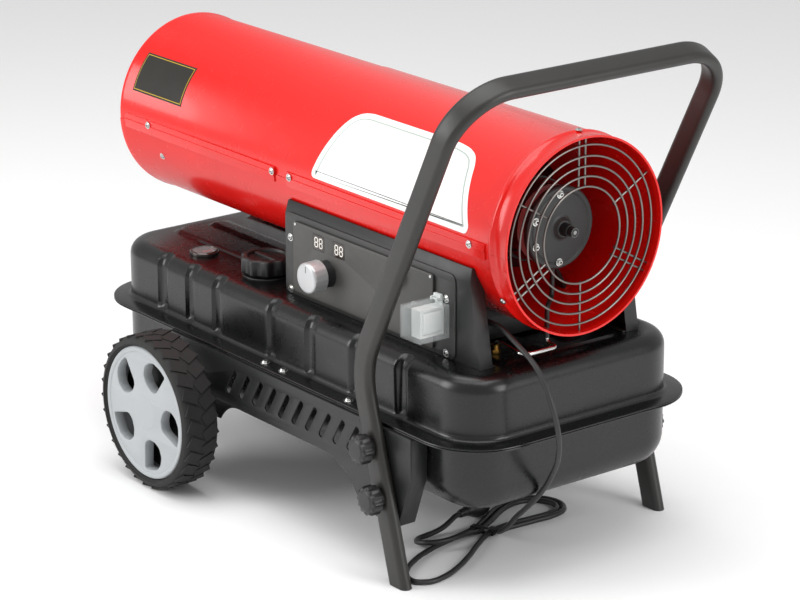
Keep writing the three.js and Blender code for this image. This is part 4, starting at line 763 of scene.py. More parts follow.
# softened() keeps corners on its axis sharp, so outlines that cross it are moved away by a metre
panelCorners = softened([(x + 1, a * vinyl["arcLength"]) for x, a in vinyl["panel"]], 0.012, 4)
panelOutline = [(p.x - 1, p.y / vinyl["arcLength"]) for p in panelCorners]
makeVinyl("shell_panel", panelOutline, 0.010, 0.0125, paleVinyl, greyVinyl, "pale plastic", tunnel["radius"])
makeVinyl("shell_plate", vinyl["plate"], 0.004, 0.0058, darkVinyl, goldVinyl, "black plastic",
          tunnel["frontRadius"])
print("panels wrapped")


# fuel tank: two pressings, each one skin with its flange
tankForm = {
    "back": -0.468, "front": 0.479, "halfWidth": 0.207, "corner": 0.072,
    "top": 0.334, "seam": 0.235, "bottom": 0.120, "topRound": 0.025, "bottomRound": 0.050,
    "flange": 0.028, "sideFlange": 0.030, "flangeSheet": 0.003,
    "grooves": (-0.323, -0.244, -0.168, -0.017, 0.084, 0.198, 0.313), "grooveDepth": 0.0062,
    "grooveHalf": 0.0125, "grooveEdge": 0.0055,
    "padHalf": 0.117, "padBack": -0.428, "padFront": 0.439, "padRise": 0.004,
    "ridges": ((-0.056, -0.020), (0.020, 0.056)), "ridgeRise": 0.004,
    "filler": (-0.137, -0.128), "fillerClear": 0.049, "channelX": -0.194, "channelHalf": 0.014,
    "channelTop": 0.141,
}


def smoothStep(value):
    t = max(0.0, min(1.0, value))
    return t * t * (3 - 2 * t)


def tankOutline(form, spacing=0.004, endSpacing=0.007, cornerSteps=14):
    # base points of the outline: place, outward way, and whether the point is on a long side
    x0, x1, h, r = form["back"], form["front"], form["halfWidth"], form["corner"]
    points = []

    def straight(start, end, way, gapWanted):
        count = round((Vector(end) - Vector(start)).length / gapWanted)
        for k in range(count):
            points.append((Vector(start).lerp(Vector(end), k / count), Vector(way), way[1] != 0))

    def corner(centre, start):
        for k in range(cornerSteps):
            a = math.radians(start + 90 * k / cornerSteps)
            way = Vector((math.cos(a), math.sin(a)))
            points.append((Vector(centre) + way * r, way, False))

    straight((x0 + r, -h), (x1 - r, -h), (0, -1), spacing)
    corner((x1 - r, -h + r), -90)
    straight((x1, -h + r), (x1, h - r), (1, 0), endSpacing)
    corner((x1 - r, h - r), 0)
    straight((x1 - r, h), (x0 + r, h), (0, 1), spacing)
    corner((x0 + r, h - r), 90)
    straight((x0, h - r), (x0, -h + r), (-1, 0), endSpacing)
    corner((x0 + r, -h + r), 180)
    return points


def grooveShare(form, x):
    return max(smoothStep((form["grooveHalf"] - abs(x - middle)) / form["grooveEdge"])
               for middle in form["grooves"])


def tankRing(form, outline, inset, z, groove=0.0):
    ring = []
    for place, way, side in outline:
        depth = inset + (form["grooveDepth"] * groove * grooveShare(form, place.x) if side else 0)
        flat = place - way * depth
        ring.append(Vector((flat.x, flat.y, z)))
    return ring


def insideBox(x, y, lowX, highX, lowY, highY, round_, edge):
    dx = max(lowX - x, x - highX) + round_
    dy = max(lowY - y, y - highY) + round_
    outside = math.hypot(max(dx, 0), max(dy, 0)) + min(max(dx, dy), 0) - round_
    return smoothStep(-outside / edge)


def topRise(form, x, y):
    back, front = form["padBack"], form["padFront"]
    rise = form["padRise"] * insideBox(x, y, back, front, -form["padHalf"], form["padHalf"], 0.022, 0.005)
    for low, high in form["ridges"]:
        rise += form["ridgeRise"] * insideBox(x, y, back + 0.018, front - 0.018, low, high, 0.012, 0.006)
    away = math.hypot(x - form["filler"][0], y - form["filler"][1]) - form["fillerClear"]
    return rise * smoothStep(away / 0.006)


def interiorRings(form, start, rows, heightAt):
    # from the last ring in to the centre line
    base = start[0].z
    x0, x1 = form["back"] + form["halfWidth"], form["front"] - form["halfWidth"]
    rings = []
    for row in range(1, rows + 1):
        ring = []
        for p in start:
            q = Vector((max(x0, min(x1, p.x)), 0)).lerp(Vector((p.x, p.y)), 1 - row / rows)
            ring.append(Vector((q.x, q.y, heightAt(q.x, q.y, base))))
        rings.append(ring)
    return rings


def flangeRings(form, outline, zs):
    # profile pairs of outward reach and height
    rings = []
    for reach, z in zs:
        ring = []
        for place, way, _ in outline:
            out = reach * (1 + (form["sideFlange"] / form["flange"] - 1) * abs(way.y))
            ring.append(Vector((place.x + way.x * out, place.y + way.y * out, z)))
        rings.append(ring)
    return rings


def flangeEdge(form, way):
    # rolled edge of a pressing's flange, above or below the seam: outward reach and height
    steps = ((0.0012, 0.0002), (0.0003, 0.0006), (0, 0.0015), (0.0004, 0.0025), (0.0016, form["flangeSheet"]))
    return [(-0.002, form["seam"] + way * 0.0002)] + [
        (form["flange"] - back, form["seam"] + way * off) for back, off in steps]


def makeTankUpper(form):
    outline = tankOutline(form)
    seam, sheet, rounding = form["seam"], form["flangeSheet"], form["topRound"]
    rings = flangeRings(form, outline, flangeEdge(form, 1) + [
        (0.0075, seam + sheet), (0.0045, seam + sheet + 0.0004), (0.002, seam + sheet + 0.0018)])
    riseFrom = form["top"] - rounding
    for k in range(15):
        z = seam + sheet + 0.0045 + (riseFrom - seam - sheet - 0.0045) * k / 14
        rings.append(tankRing(form, outline, 0, z, smoothStep((z - seam - 0.004) / 0.007)))
    for k in range(1, 13):
        a = math.radians(90 * k / 12)
        rings.append(tankRing(form, outline, rounding * (1 - math.cos(a)), riseFrom + rounding * math.sin(a),
                              smoothStep((88 - math.degrees(a)) / 34)))
    top = interiorRings(form, rings[-1], 64, lambda x, y, z: z + topRise(form, x, y))
    tank = lofted("upper_pressing", rings + top, blackTank, 40, capped=False)
    return placed(tank, chassis, "black enamel", "tank_upper")


def makeTankLower(form):
    outline = tankOutline(form)
    seam, sheet, rounding = form["seam"], form["flangeSheet"], form["bottomRound"]
    rings = flangeRings(form, outline, flangeEdge(form, -1) + [
        (0.006, seam - sheet), (0.002, seam - sheet - 0.002)])
    low = form["bottom"] + rounding
    for k in range(8):
        rings.append(tankRing(form, outline, 0, seam - sheet - 0.004 + (low - seam + sheet + 0.004) * k / 7))
    for k in range(1, 15):
        a = math.radians(90 * k / 14)
        rings.append(tankRing(form, outline, rounding * (1 - math.cos(a)), low - rounding * math.sin(a)))
    rings += interiorRings(form, rings[-1], 12, lambda x, y, z: z)
    for ring in rings:
        for p in ring:
            if abs(p.x - form["channelX"]) < form["channelHalf"]:
                p.z = max(p.z, form["channelTop"])
    tank = lofted("lower_pressing", rings, blackTank, 40, capped=False)
    return placed(tank, chassis, "black enamel", "tank_lower")


makeTankUpper(tankForm)
makeTankLower(tankForm)
flangeScrews = [(Vector((x, side * 0.222, 0.238)), (0, 0, 1)) for x in (-0.012, 0.036,
                                                                        0.205) for side in (-1, 1)]
screws("flange_screws", flangeScrews, 0.0062, 0.0034)
print("tank pressed")


# filler cap, gauge and the small tank fittings
capForm = {"centre": (-0.137, -0.128), "low": 0.338, "high": 0.366, "radius": 0.043, "lobes": 10,
           "dip": 0.0042,
           "recess": 0.031}


def lobedRing(centre, radius, lobes, dip, height, count=160, power=1.0, axis="z"):
    ring = []
    for k in range(count):
        a = 2 * math.pi * k / count
        r = radius - dip * ((1 - math.cos(lobes * a)) / 2) ** power
        if axis == "z":
            ring.append(Vector((centre[0] + r * math.cos(a), centre[1] + r * math.sin(a), height)))
        else:
            ring.append(Vector((centre[0] + r * math.cos(a), height, centre[1] + r * math.sin(a))))
    return ring


def makeCap(form):
    c, r, low, high = form["centre"], form["radius"], form["low"], form["high"]
    steps = [(0.88, low), (0.94, low + 0.0012), (1.0, low + 0.004), (1.0, high - 0.005),
             (0.985, high - 0.0022),
             (0.95, high - 0.0006), (0.92, high)]
    rings = [lobedRing(c, r * s, form["lobes"], form["dip"], z, power=0.8) for s, z in steps]
    for radius, z in ((form["recess"] + 0.001, high), (form["recess"], high - 0.001),
                      (form["recess"] - 0.0006, high - 0.0044),
                      (form["recess"] - 0.002, high - 0.005)):
        rings.append(lobedRing(c, radius, form["lobes"], 0, z))
    lid = lofted("lid", rings, blackPlastic, 40)
    grip = block("grip", (c[0] - 0.0285, c[1] - 0.005, low + 0.005),
                 (c[0] + 0.0285, c[1] + 0.005, high - 0.0008),
                 blackPlastic, 0.0018)
    marks = [turned("ring_mark", "z", (*c, 0), [(rad, high - 0.0051), (rad + 0.0012, high - 0.0051),
                                               (rad + 0.0012, high - 0.0042), (rad, high - 0.0042)],
                    blackPlastic, 64)
             for rad in (0.012, 0.021)]
    cap = joined("filler_lid", [lid, grip, *marks])
    return placed(cap, "filler_cap", "black plastic", "fuel_cap")


makeCap(capForm)
neck = turned("neck_ring", "z", (*capForm["centre"], 0.334),
              [(0.024, 0), (0.040, 0), (0.0395, 0.0022), (0.027, 0.0026), (0.027, 0.018), (0.024, 0.018)],
              blackPlastic, 64, soft=0.0006)
placed(neck, chassis, "black plastic", "filler_neck")

gaugeForm = {"centre": (-0.289, -0.146, 0.334), "radius": 0.024, "height": 0.007}


def makeGauge(form):
    c, r, h = form["centre"], form["radius"], form["height"]
    bezel = turned("bezel", "z", c, [(0, 0), (r, 0), (r, h - 0.002), (r - 0.002, h), (r - 0.004, h),
                                     (r - 0.0046, 0.0026),
                                     (0, 0.0022)], gaugeRim, 72, soft=0.0006)
    face = turned("dial_face", "z", c, [(0, 0.0022), (r - 0.0046, 0.0027), (r - 0.0046, 0.0023),
                                        (0, 0.0018)], gaugeFace, 48)
    ticks = []
    for k in range(5):
        a = math.radians(100 - 5 - k * 18)
        tick = block("tick", (0.0145, -0.0004, 0.0022), (0.018, 0.0004, 0.0029), palePlastic, 0)
        tick.data.transform(Matrix.Translation(c) @ Matrix.Rotation(a, 4, "Z"))
        ticks.append(tick)
    return placed(joined("gauge_case", [bezel, face, *ticks]), chassis, "bright metal", "gauge_body")


makeGauge(gaugeForm)
glass = turned("gauge_glass", "z", (*gaugeForm["centre"][:2], 0.3392),
               [(0, 0), (0.0197, 0), (0.0197, 0.0012), (0.012, 0.0017), (0, 0.0018)], clearPlastic, 48)
placed(glass, chassis, "clear plastic", "gauge_lens")


# copies of plain machined CAD solids get merged corners, small bevels and their finish
def dressed(node, name, material, slotName, body, width):
    copy = linked(name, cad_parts[node].data.copy())
    evened(copy, material, 34, merge=2e-5)
    work = bmesh.new()
    work.from_mesh(copy.data)
    bmesh.ops.dissolve_limit(work, angle_limit=math.radians(1), verts=work.verts, edges=work.edges)
    work.to_mesh(copy.data)
    work.free()
    return placed(bevelled(copy, width, 2, 34), body, slotName, node)


plain = {  # node: new name, finish, slot, body, bevel
    "saddle_frame": ("saddle", bracketPaint, "black enamel", chassis, 0.0007),
    "motor_bracket": ("motor_clamp", bracketPaint, "black enamel", chassis, 0.0006),
    "outlet_ring": ("outlet_holder", hotSteel, "steel", chassis, 0.0005),
    "chamber_support": ("chamber_legs", bareSteel, "steel", chassis, 0.0004),
    "flame_deflector": ("flame_plate", hotSteel, "steel", chassis, 0.0004),
    "burner_head": ("burner_cup", bareSteel, "steel", chassis, 0.0004),
    "ignition_transformer": ("spark_transformer", blackPlastic, "black plastic", chassis, 0.001),
    "drain_plug": ("drain_screw", blackPlastic, "black plastic", chassis, 0.0008),
    "switch_housing": ("switch_block", palePlastic, "pale plastic", chassis, 0.0009),
    "splash_cover": ("clear_flap", clearPlastic, "clear plastic", "switch_lid", 0.0006),
    "fan": ("fan_wheel", darkMotor, "black enamel", "rotor", 0.0004),
}
for node, (name, material, slotName, body, width) in plain.items():
    dressed(node, name, material, slotName, body, width)
# hardly seen solids keep their CAD mesh and get a finish
hidden = {
    "float_arm": blackPlastic, "fuel_strainer": brassMetal, "fuel_nozzle": brassMetal,
    "spark_electrode": palePlastic, "gauge_needle": needleRed, "motor_shaft": bareSteel, "axle": bareSteel,
    "combustion_chamber": hotSteel, "pump_body": silverKnob,
}
for node, material in hidden.items():
    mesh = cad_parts[node].data
    mesh.materials.clear()
    mesh.materials.append(material)
board = dressed("circuit_board", "control_board", boardGreen, "black plastic", chassis, 0.0003)
board.data.materials.append(displayGlass)
displayFaces = -0.1565  # what lies in front of this Y is a display
for polygon in board.data.polygons:
    if polygon.center.y < displayFaces:
        polygon.material_index = 1
print("fittings dressed")


# side brackets with their slanted slots
bracketForm = {
    "outer": 0.2417, "inner": 0.2100, "sheet": 0.003, "top": 0.232, "back": -0.252, "front": 0.381,
    "slots": 10, "slotPitch": 0.0355, "slotX": 0.2405, "slotHeight": 0.192, "slotTilt": 32,
    "slotRadius": 0.0052, "slotLength": 0.050, "axle": (-0.194, 0.127), "bore": 0.0084,
}


def bend(a, b, c, steps=8):
    # curve from a to c that leans towards b, without its first point
    return [tuple((1 - t) ** 2 * a[i] + 2 * t * (1 - t) * b[i] + t * t * c[i] for i in (0, 1))
            for t in (k / steps for k in range(1, steps + 1))]


def makeBracket(form):
    x, z = form["axle"]
    back, front, top, sheet = form["back"], form["front"], form["top"], form["sheet"]
    edge = [(back, top), (back, 0.152), (x - 0.024, z - 0.008)]
    edge += arc((x, z), 0.025, 198, 342, 12)
    edge += [(-0.112, 0.121), *bend((-0.112, 0.121), (-0.092, 0.151), (-0.060, 0.151)), (0.168, 0.151)]
    edge += bend((0.168, 0.151), (0.222, 0.146), (0.244, 0.112))
    edge += bend((0.244, 0.112), (0.262, 0.088), (0.292, 0.086))
    edge += [(0.352, 0.086), (front, 0.166), (front, top)]
    outlines = [edge]
    c, s = math.cos(math.radians(form["slotTilt"])), math.sin(math.radians(form["slotTilt"]))
    half = form["slotLength"] / 2 - form["slotRadius"]
    slot = arc((0, half), form["slotRadius"], 0, 180, 8) + arc((0, -half), form["slotRadius"], 180, 360, 8)
    for k in range(form["slots"]):
        midX, midZ = form["slotX"] - k * form["slotPitch"], form["slotHeight"]
        outlines.append([(midX + px * c + pz * s, midZ + pz * c - px * s) for px, pz in slot])
    outlines.append(arc((x, z), form["bore"], 0, 345, 23))
    outer = -form["outer"]
    web = cutSheet("web", outlines, outer, outer + sheet, 0.0006, bracketPaint)
    flange = block("flange", (back, outer + 0.001, top - sheet), (front, -form["inner"], top), bracketPaint)
    end = [(0.352, 0.086), (front, 0.166), (front, top), (front - 0.003, top), (front - 0.003, 0.167),
           (0.349, 0.086)]
    lip = bevelled(extruded("lip", end, outer + 0.001, -form["inner"], bracketPaint), 0.0008)
    left = joined("bracket_left", [web, flange, lip])
    right = flipped(linked("bracket_right", left.data.copy()))
    placed(left, chassis, "black enamel", "side_bracket_left")
    placed(right, chassis, "black enamel", "side_bracket_right")


makeBracket(bracketForm)
print("brackets cut")


# wheels: tyre with its tread, and a hub with five windows
wheelForm = {
    "x": -0.194, "radius": 0.127, "width": 0.066, "outer": 0.336, "rim": 0.109,
    "windows": 5, "firstWindow": 50, "hubDepth": 0.020,
    "treadCount": 30, "treadHeight": 0.0030, "treadWidth": 0.0195, "treadLength": 0.027, "treadTilt": 27,
    "treadRow": 0.0135, "treadStagger": 0.045,
}


def treadTree(form):
    # two rows of ribs that lean against each other, and the tyre itself
    tree = Tree("tyre tread", (("Tread radius", "Float"), ("Rib length", "Float"), ("Rib width", "Float"),
                               ("Rib height", "Float"), ("Tilt", "Float"), ("Row offset", "Float"),
                               ("Ribs", "Int"), ("Rubber", "Material")))
    given, rows = tree.given, []
    for side in (-1, 1):
        wheel = tree.step("GeometryNodeMeshCircle", {"Vertices": given["Ribs"],
                                                     "Radius": given["Tread radius"]})
        size = tree.vector(given["Rib height"], given["Rib width"], given["Rib length"])
        rib = tree.step("GeometryNodeMeshCube", {"Size": size, "Vertices Z": 4})
        lean = tree.vector(tree.scaled(given["Tilt"], side))
        tilted = tree.step("GeometryNodeTransform", {"Geometry": rib, "Rotation": lean})
        position = tree.step("GeometryNodeInputPosition", {})
        outward = tree.step("FunctionNodeAlignRotationToVector", {"Vector": position}, axis="X")
        put = tree.step("GeometryNodeInstanceOnPoints", {"Points": wheel, "Instance": tilted,
                                                         "Rotation": outward})
        rows.append(tree.step("GeometryNodeTransform", {
            "Geometry": put, "Translation": tree.vector(z=tree.scaled(given["Row offset"], side)),
            "Rotation": tree.vector(z=form["treadStagger"] * side)}))
    whole = tree.made(tree.gathered([*rows, given["Geometry"]]))
    return tree.ended(tree.painted(whole, given["Rubber"]))


def windowOutline(angle):
    # one window of the hub: a straight side from rim to hub and a curved side opposite
    outline = [(0.055, 1.5), (0.0955, 1.5), (0.0955, 12), (0.094, 23), (0.088, 31), (0.078, 38), (0.063, 41),
               (0.051, 34), (0.045, 18), (0.049, 5)]
    corners = [(r * math.cos(math.radians(a)), r * math.sin(math.radians(a))) for r, a in outline]
    round_ = softened([(x + 1, z) for x, z in corners], 0.004, 3)
    turn = Matrix.Rotation(math.radians(angle), 2)
    return [tuple(turn @ Vector((p.x - 1, p.y))) for p in round_]


def makeWheel(form, label, side, tread):
    half, r = form["width"] / 2, form["radius"]
    centre = (form["x"], side * (form["outer"] - half), r)
    carcass = [(form["rim"] + 0.0003, -half + 0.006), (form["rim"] + 0.004, -half + 0.002),
               (r - 0.014, -half),
               (r - 0.0065, -half + 0.0025), (r - 0.0034, -half + 0.0075), (r - 0.0026, -half + 0.016),
               (r - 0.0024, 0),
               (r - 0.0026, half - 0.016), (r - 0.0034, half - 0.0075), (r - 0.0065, half - 0.0025),
               (r - 0.014, half),
               (form["rim"] + 0.004, half - 0.002), (form["rim"] + 0.0003, half - 0.006)]
    tyre = turned("tyre", "y", (0, 0, 0), carcass, tyreRubber, 128, soft=0.004)
    tyre.data.transform(Matrix.Rotation(math.radians(90), 4, "X"))
    tyre = withNodes(tyre, tread, {
        "Tread radius": r - form["treadHeight"] / 2 - 0.0011, "Rib length": form["treadLength"],
        "Rib width": form["treadWidth"], "Rib height": form["treadHeight"],
        "Tilt": math.radians(form["treadTilt"]),
        "Row offset": form["treadRow"], "Ribs": form["treadCount"], "Rubber": tyreRubber})
    tyre.data.transform(Matrix.Rotation(math.radians(-90), 4, "X"))
    tyre.data.transform(Matrix.Translation(centre))
    tyre.name = f"tyre_{label}_tread"
    placed(evened(tyre, tyreRubber, 40, merge=0), f"wheel_{label}_body", "tyre rubber", f"tyre_{label}")

    front = -half + 0.0030
    step = 360 / form["windows"]
    windows = [windowOutline(form["firstWindow"] + k * step) for k in range(form["windows"])]
    disc = cutSheet("disc", [arc((0, 0), 0.1045, 0, 357, 119), *windows], front + 0.0022,
                    front + form["hubDepth"],
                    0.0022, hubPlastic)
    rim = turned("rim", "y", (0, 0, 0), [
        (0.0985, front + 0.0035), (0.1005, front + 0.0012), (0.1035, front + 0.0002), (0.107, front + 0.0004),
        (0.1088, front + 0.0024), (0.1088, half - 0.008), (0.101, half - 0.008), (0.101, front + 0.016),
        (0.0985, front + 0.016)], hubPlastic, 128, soft=0.0008)
    boss = turned("boss", "y", (0, 0, 0), [
        (0, front + 0.0014), (0.012, front + 0.0014), (0.026, front + 0.0017), (0.032, front + 0.0026),
        (0.032, front + 0.010), (0, front + 0.010)], hubPlastic, 96, soft=0.001)
    core = turned("core", "y", (0, 0, 0), [
        (0.0083, front + 0.012), (0.020, front + 0.012), (0.020, half - 0.002), (0.0083, half - 0.002)],
                  hubPlastic, 64, soft=0.001)
    # black web at mid depth: painted shade, making the hub's inside dark where it shows through the windows
    web = turned("web", "y", (0, 0, 0), [(0.020, 0.004), (0.102, 0.004), (0.102, 0.007), (0.020, 0.007)],
                 blackPlastic, 64)
    hub = joined(f"hub_{label}", [disc, rim, boss, core, web])
    if side > 0:
        flipped(hub)
    hub.data.transform(Matrix.Translation(centre))
    placed(hub, f"wheel_{label}_body", "wheel plastic", f"wheel_{label}")


tread = treadTree(wheelForm)
for label, side in (("left", -1), ("right", 1)):
    makeWheel(wheelForm, label, side, tread)
print("wheels fitted")


# bent oval tube frame and its four clamp knobs
frameForm = {
    "wide": 0.040, "thick": 0.020, "halfWidth": 0.252, "foot": 0.371, "knee": (0.276, 0.319),
    "kneeRadius": 0.125,
    "top": 0.774, "lean": 0.506, "cornerRadius": 0.088, "knobHeights": (0.131, 0.205),
}


def makeFrame(form):
    h = form["halfWidth"]
    bar = form["knee"][0] + form["lean"] * (form["top"] - form["knee"][1])
    slope = (form["foot"] - form["knee"][0]) / form["knee"][1]
    foot = (form["foot"] + slope * 0.02, -0.02)
    side = [(foot[0], foot[1]), form["knee"], (bar, form["top"])]
    corners = [(x, -h, z) for x, z in side] + [(x, h, z) for x, z in reversed(side)]
    radii = [form[key] for key in ("kneeRadius", "cornerRadius", "cornerRadius", "kneeRadius")]
    path = roundedRoute(corners, radii, 22)
    flat, round_ = (form["wide"] - form["thick"]) / 2, form["thick"] / 2
    section = [(round_ * math.cos(a), flat + round_ * math.sin(a))
               for a in (math.pi * k / 12 for k in range(13))]
    section += [(round_ * math.cos(a), -flat + round_ * math.sin(a))
                for a in (math.pi * (1 + k / 12) for k in range(13))]
    tube = sweptTube("tube", path, section, (0, 1, 0), framePaint, 40)
    work = bmesh.new()
    work.from_mesh(tube.data)
    geometry = work.verts[:] + work.edges[:] + work.faces[:]
    bottom = bmesh.ops.bisect_plane(work, geom=geometry, plane_co=(0, 0, 0.0002), plane_no=(0, 0, -1),
                                    clear_outer=True)
    edges = [e for e in bottom["geom_cut"] if isinstance(e, bmesh.types.BMEdge)]
    bmesh.ops.holes_fill(work, edges=edges, sides=0)
    work.to_mesh(tube.data)
    work.free()
    placed(evened(tube, framePaint, 40), chassis, "frame enamel", "tube_frame")
    tube.name = "handle_frame"


knobForm = {"radius": 0.023, "lobes": 12, "dip": 0.0026, "inner": 0.2623}


def makeKnob(form, level, side, z):
    x = frameForm["foot"] + (frameForm["knee"][0] - frameForm["foot"]) * z / frameForm["knee"][1]
    base, r = form["inner"], form["radius"]
    steps = [(0.80, 0.0048), (0.93, 0.0054), (0.99, 0.0078), (1.0, 0.010), (0.985, 0.0215), (0.95, 0.0242),
             (0.88, 0.0256),
             (0.78, 0.026)]
    rings = [lobedRing((0, 0), r * s, form["lobes"], form["dip"] * (1 if s > 0.85 else 0.5), -d, 144, 0.7,
                       "y") for s, d in steps]
    head = lofted("head", rings, knobPlastic, 40)
    cap = turned("cap", "y", (0, 0, 0), [(0, -0.0276), (0.013, -0.0274), (0.0162, -0.0262),
                                         (0.0168, -0.0250), (0, -0.0250)],
                 knobPlastic, 64, soft=0.0006)
    collar = turned("collar", "y", (0, 0, 0), [(0, -0.006), (0.0143, -0.006), (0.0143, -0.0002),
                                               (0, -0.0002)],
                    knobPlastic, 48, soft=0.0008)
    bolt = turned("bolt", "y", (0, 0, 0), [(0, -0.001), (0.004, -0.001), (0.004, 0.029), (0.003, 0.0298),
                                           (0, 0.0298)],
                  screwSteel, 32)
    name = f"{level}_{'left' if side < 0 else 'right'}"
    knob = joined(f"knob_{name}_grip", [head, cap, collar, bolt])
    if side > 0:
        flipped(knob)
    knob.data.transform(Matrix.Translation((x, side * base, z)))
    placed(knob, f"knob_{name}", "black plastic", f"clamp_knob_{name}")


makeFrame(frameForm)
for level, z in zip(("lower", "upper"), frameForm["knobHeights"]):
    for side in (-1, 1):
        makeKnob(knobForm, level, side, z)
print("frame bent")


# intake guard: one Geometry Nodes tree turns the wire lines into round wire
guardForm = {"x": 0.476, "wire": 0.0017, "reach": 0.1468, "rings": (0.487, 0.59, 0.692, 0.793, 0.906),
             "pairHalf": 0.006,
             "pairs": (90, 210, 330), "singles": (30, 150, 270)}


def wireTree():
    tree = Tree("guard wire", (("Wire radius", "Float"), ("Metal", "Material")))
    lines = tree.step("GeometryNodeMeshToCurve", {0: tree.given["Geometry"]})
    ring = tree.step("GeometryNodeCurvePrimitiveCircle", {"Resolution": 12,
                                                          "Radius": tree.given["Wire radius"]})
    tube = tree.step("GeometryNodeCurveToMesh", {"Curve": lines, "Profile Curve": ring, "Fill Caps": True})
    return tree.ended(tree.painted(tree.made(tube), tree.given["Metal"]))


def makeGuard(form):
    points, edges = [], []
    around, radius = 120, tunnel["radius"]
    for share in form["rings"]:
        first = len(points)
        for k in range(around):
            a = 2 * math.pi * k / around
            points.append((form["x"] + 0.001, radius * share * math.cos(a),
                           tunnel["centre"][2] + radius * share * math.sin(a)))
            edges.append((first + k, first + (k + 1) % around))
    spokes = [(a, offset) for a in form["pairs"] for offset in (-form["pairHalf"], form["pairHalf"])]
    spokes += [(a, 0) for a in form["singles"]]
    for angle, offset in spokes:
        a = math.radians(angle)
        inner = form["rings"][0] * radius
        outer = math.sqrt(form["reach"] ** 2 - offset ** 2) - 0.0006
        for run in (inner - form["wire"], outer):
            points.append((form["x"] - form["wire"], -run * math.cos(a) - offset * math.sin(a),
                           tunnel["centre"][2] + run * math.sin(a) - offset * math.cos(a)))
        edges.append((len(points) - 2, len(points) - 1))
    mesh = bpy.data.meshes.new("guard_wires")
    mesh.from_pydata(points, edges, [])
    guard = withNodes(linked("guard_wires", mesh), wireTree(),
                      {"Wire radius": form["wire"], "Metal": guardWire})
    placed(evened(guard, angle=50, merge=0), chassis, "bright metal", "intake_guard")


makeGuard(guardForm)

# motor, air pump cover and what is seen through the guard
motorForm = {"back": 0.292, "front": 0.402, "radius": 0.062, "pumpFront": 0.430}


def makeMotor(form):
    axis = (0, 0, tunnel["centre"][2])
    r, a, b = form["radius"], form["back"], form["front"]
    can = turned("can", "x", axis, [(0.0073, a), (0.040, a), (0.040, a + 0.006), (r - 0.006, a + 0.006),
                                    (r - 0.0015, a + 0.012),
                                    (r - 0.0015, a + 0.026), (r, a + 0.027), (r, a + 0.081),
                                    (r - 0.0015, a + 0.082),
                                    (r - 0.0015, b - 0.008), (r - 0.006, b), (0.0073, b)], darkMotor, 96,
                 soft=0.001)
    bolts = []
    for k in range(4):
        spot = onAxis("x", axis, r - 0.009, a + 0.006, math.radians(45 + 90 * k))
        bolts.append(turned("bolt", "x", spot, [(0, -0.003), (0.004, -0.003), (0.004, 0), (0, 0)],
                            screwSteel, 6))
    placed(joined("motor_can", [can, *bolts]), chassis, "black enamel", "motor_body")
    front = form["pumpFront"]
    lid = turned("lid", "x", axis, [
        (0.0073, front - 0.010), (0.063, front - 0.010), (0.063, front - 0.0025), (0.0605, front),
        (0.0560, front),
        (0.0552, front - 0.0012), (0.0536, front - 0.0012), (0.0528, front), (0.020, front + 0.0005),
        (0.0165, front + 0.002),
        (0.0140, front + 0.0055), (0.0125, front + 0.008), (0.0073, front + 0.008)], pumpPaint, 96,
                 soft=0.0007)
    nib = turned("nib", "x", axis, [(0.0030, front + 0.0215), (0.0072, front + 0.0215),
                                    (0.0072, front + 0.0315), (0.0060, front + 0.0325),
                                    (0.0030, front + 0.0325)], blackPlastic, 32, soft=0.0006)
    post = turned("post", "x", axis, [(0.0073, front), (0.0105, front), (0.0095, front + 0.022),
                                      (0.0073, front + 0.022)],
                  blackPlastic, 40, soft=0.0008)
    wing = block("wing", (front - 0.0095, -0.052, tunnel["centre"][2] - 0.030),
                 (front - 0.0016, -0.0545, tunnel["centre"][2] + 0.030),
                 pumpPaint, 0.0006)
    placed(joined("pump_lid", [lid, nib, post, wing]), chassis, "grey enamel", "pump_cover")


makeMotor(motorForm)
pumpBolts = []
for y, z in ((-0.003, 0.5735), (-0.003, 0.4700), (-0.0490, 0.5400), (-0.0480, 0.5010)):
    at = (motorForm["pumpFront"] + 0.0002, y, z)
    pumpBolts.append(turned("washer", "x", at, [(0, 0), (0.0062, 0), (0.0062, 0.0012), (0, 0.0012)],
                            screwSteel, 32, soft=0.0003))
    pumpBolts.append(turned("hex", "x", at, [(0, 0.0012), (0.0046, 0.0012), (0.0046, 0.0042),
                                             (0.0036, 0.0048), (0, 0.0048)],
                            screwSteel, 6))
    # dark eye on each bolt head: painted shade for the socket in its top
    pumpBolts.append(turned("eye", "x", at, [(0, 0.0044), (0.0018, 0.0044), (0.0018, 0.0050), (0, 0.0050)],
                            paintedShadeBlack, 16))
placed(joined("pump_bolts", pumpBolts), chassis, "bright metal")
print("intake filled")


# control side: cover sheet with its raised panel, displays, dial, caps and switch
coverForm = {
    "back": -0.046, "front": 0.378, "low": 0.3343, "top": 0.466, "face": -0.156, "backFace": -0.154,
    "corner": 0.012,
    "panel": (-0.020, 0.342, 0.330, 0.456), "panelFace": -0.160, "displays": (0.047, 0.099),
    "displayZ": 0.436,
    "displayWidth": 0.029, "displayHeight": 0.025, "dial": (0.071, 0.393), "reset": (0.250, 0.434),
}


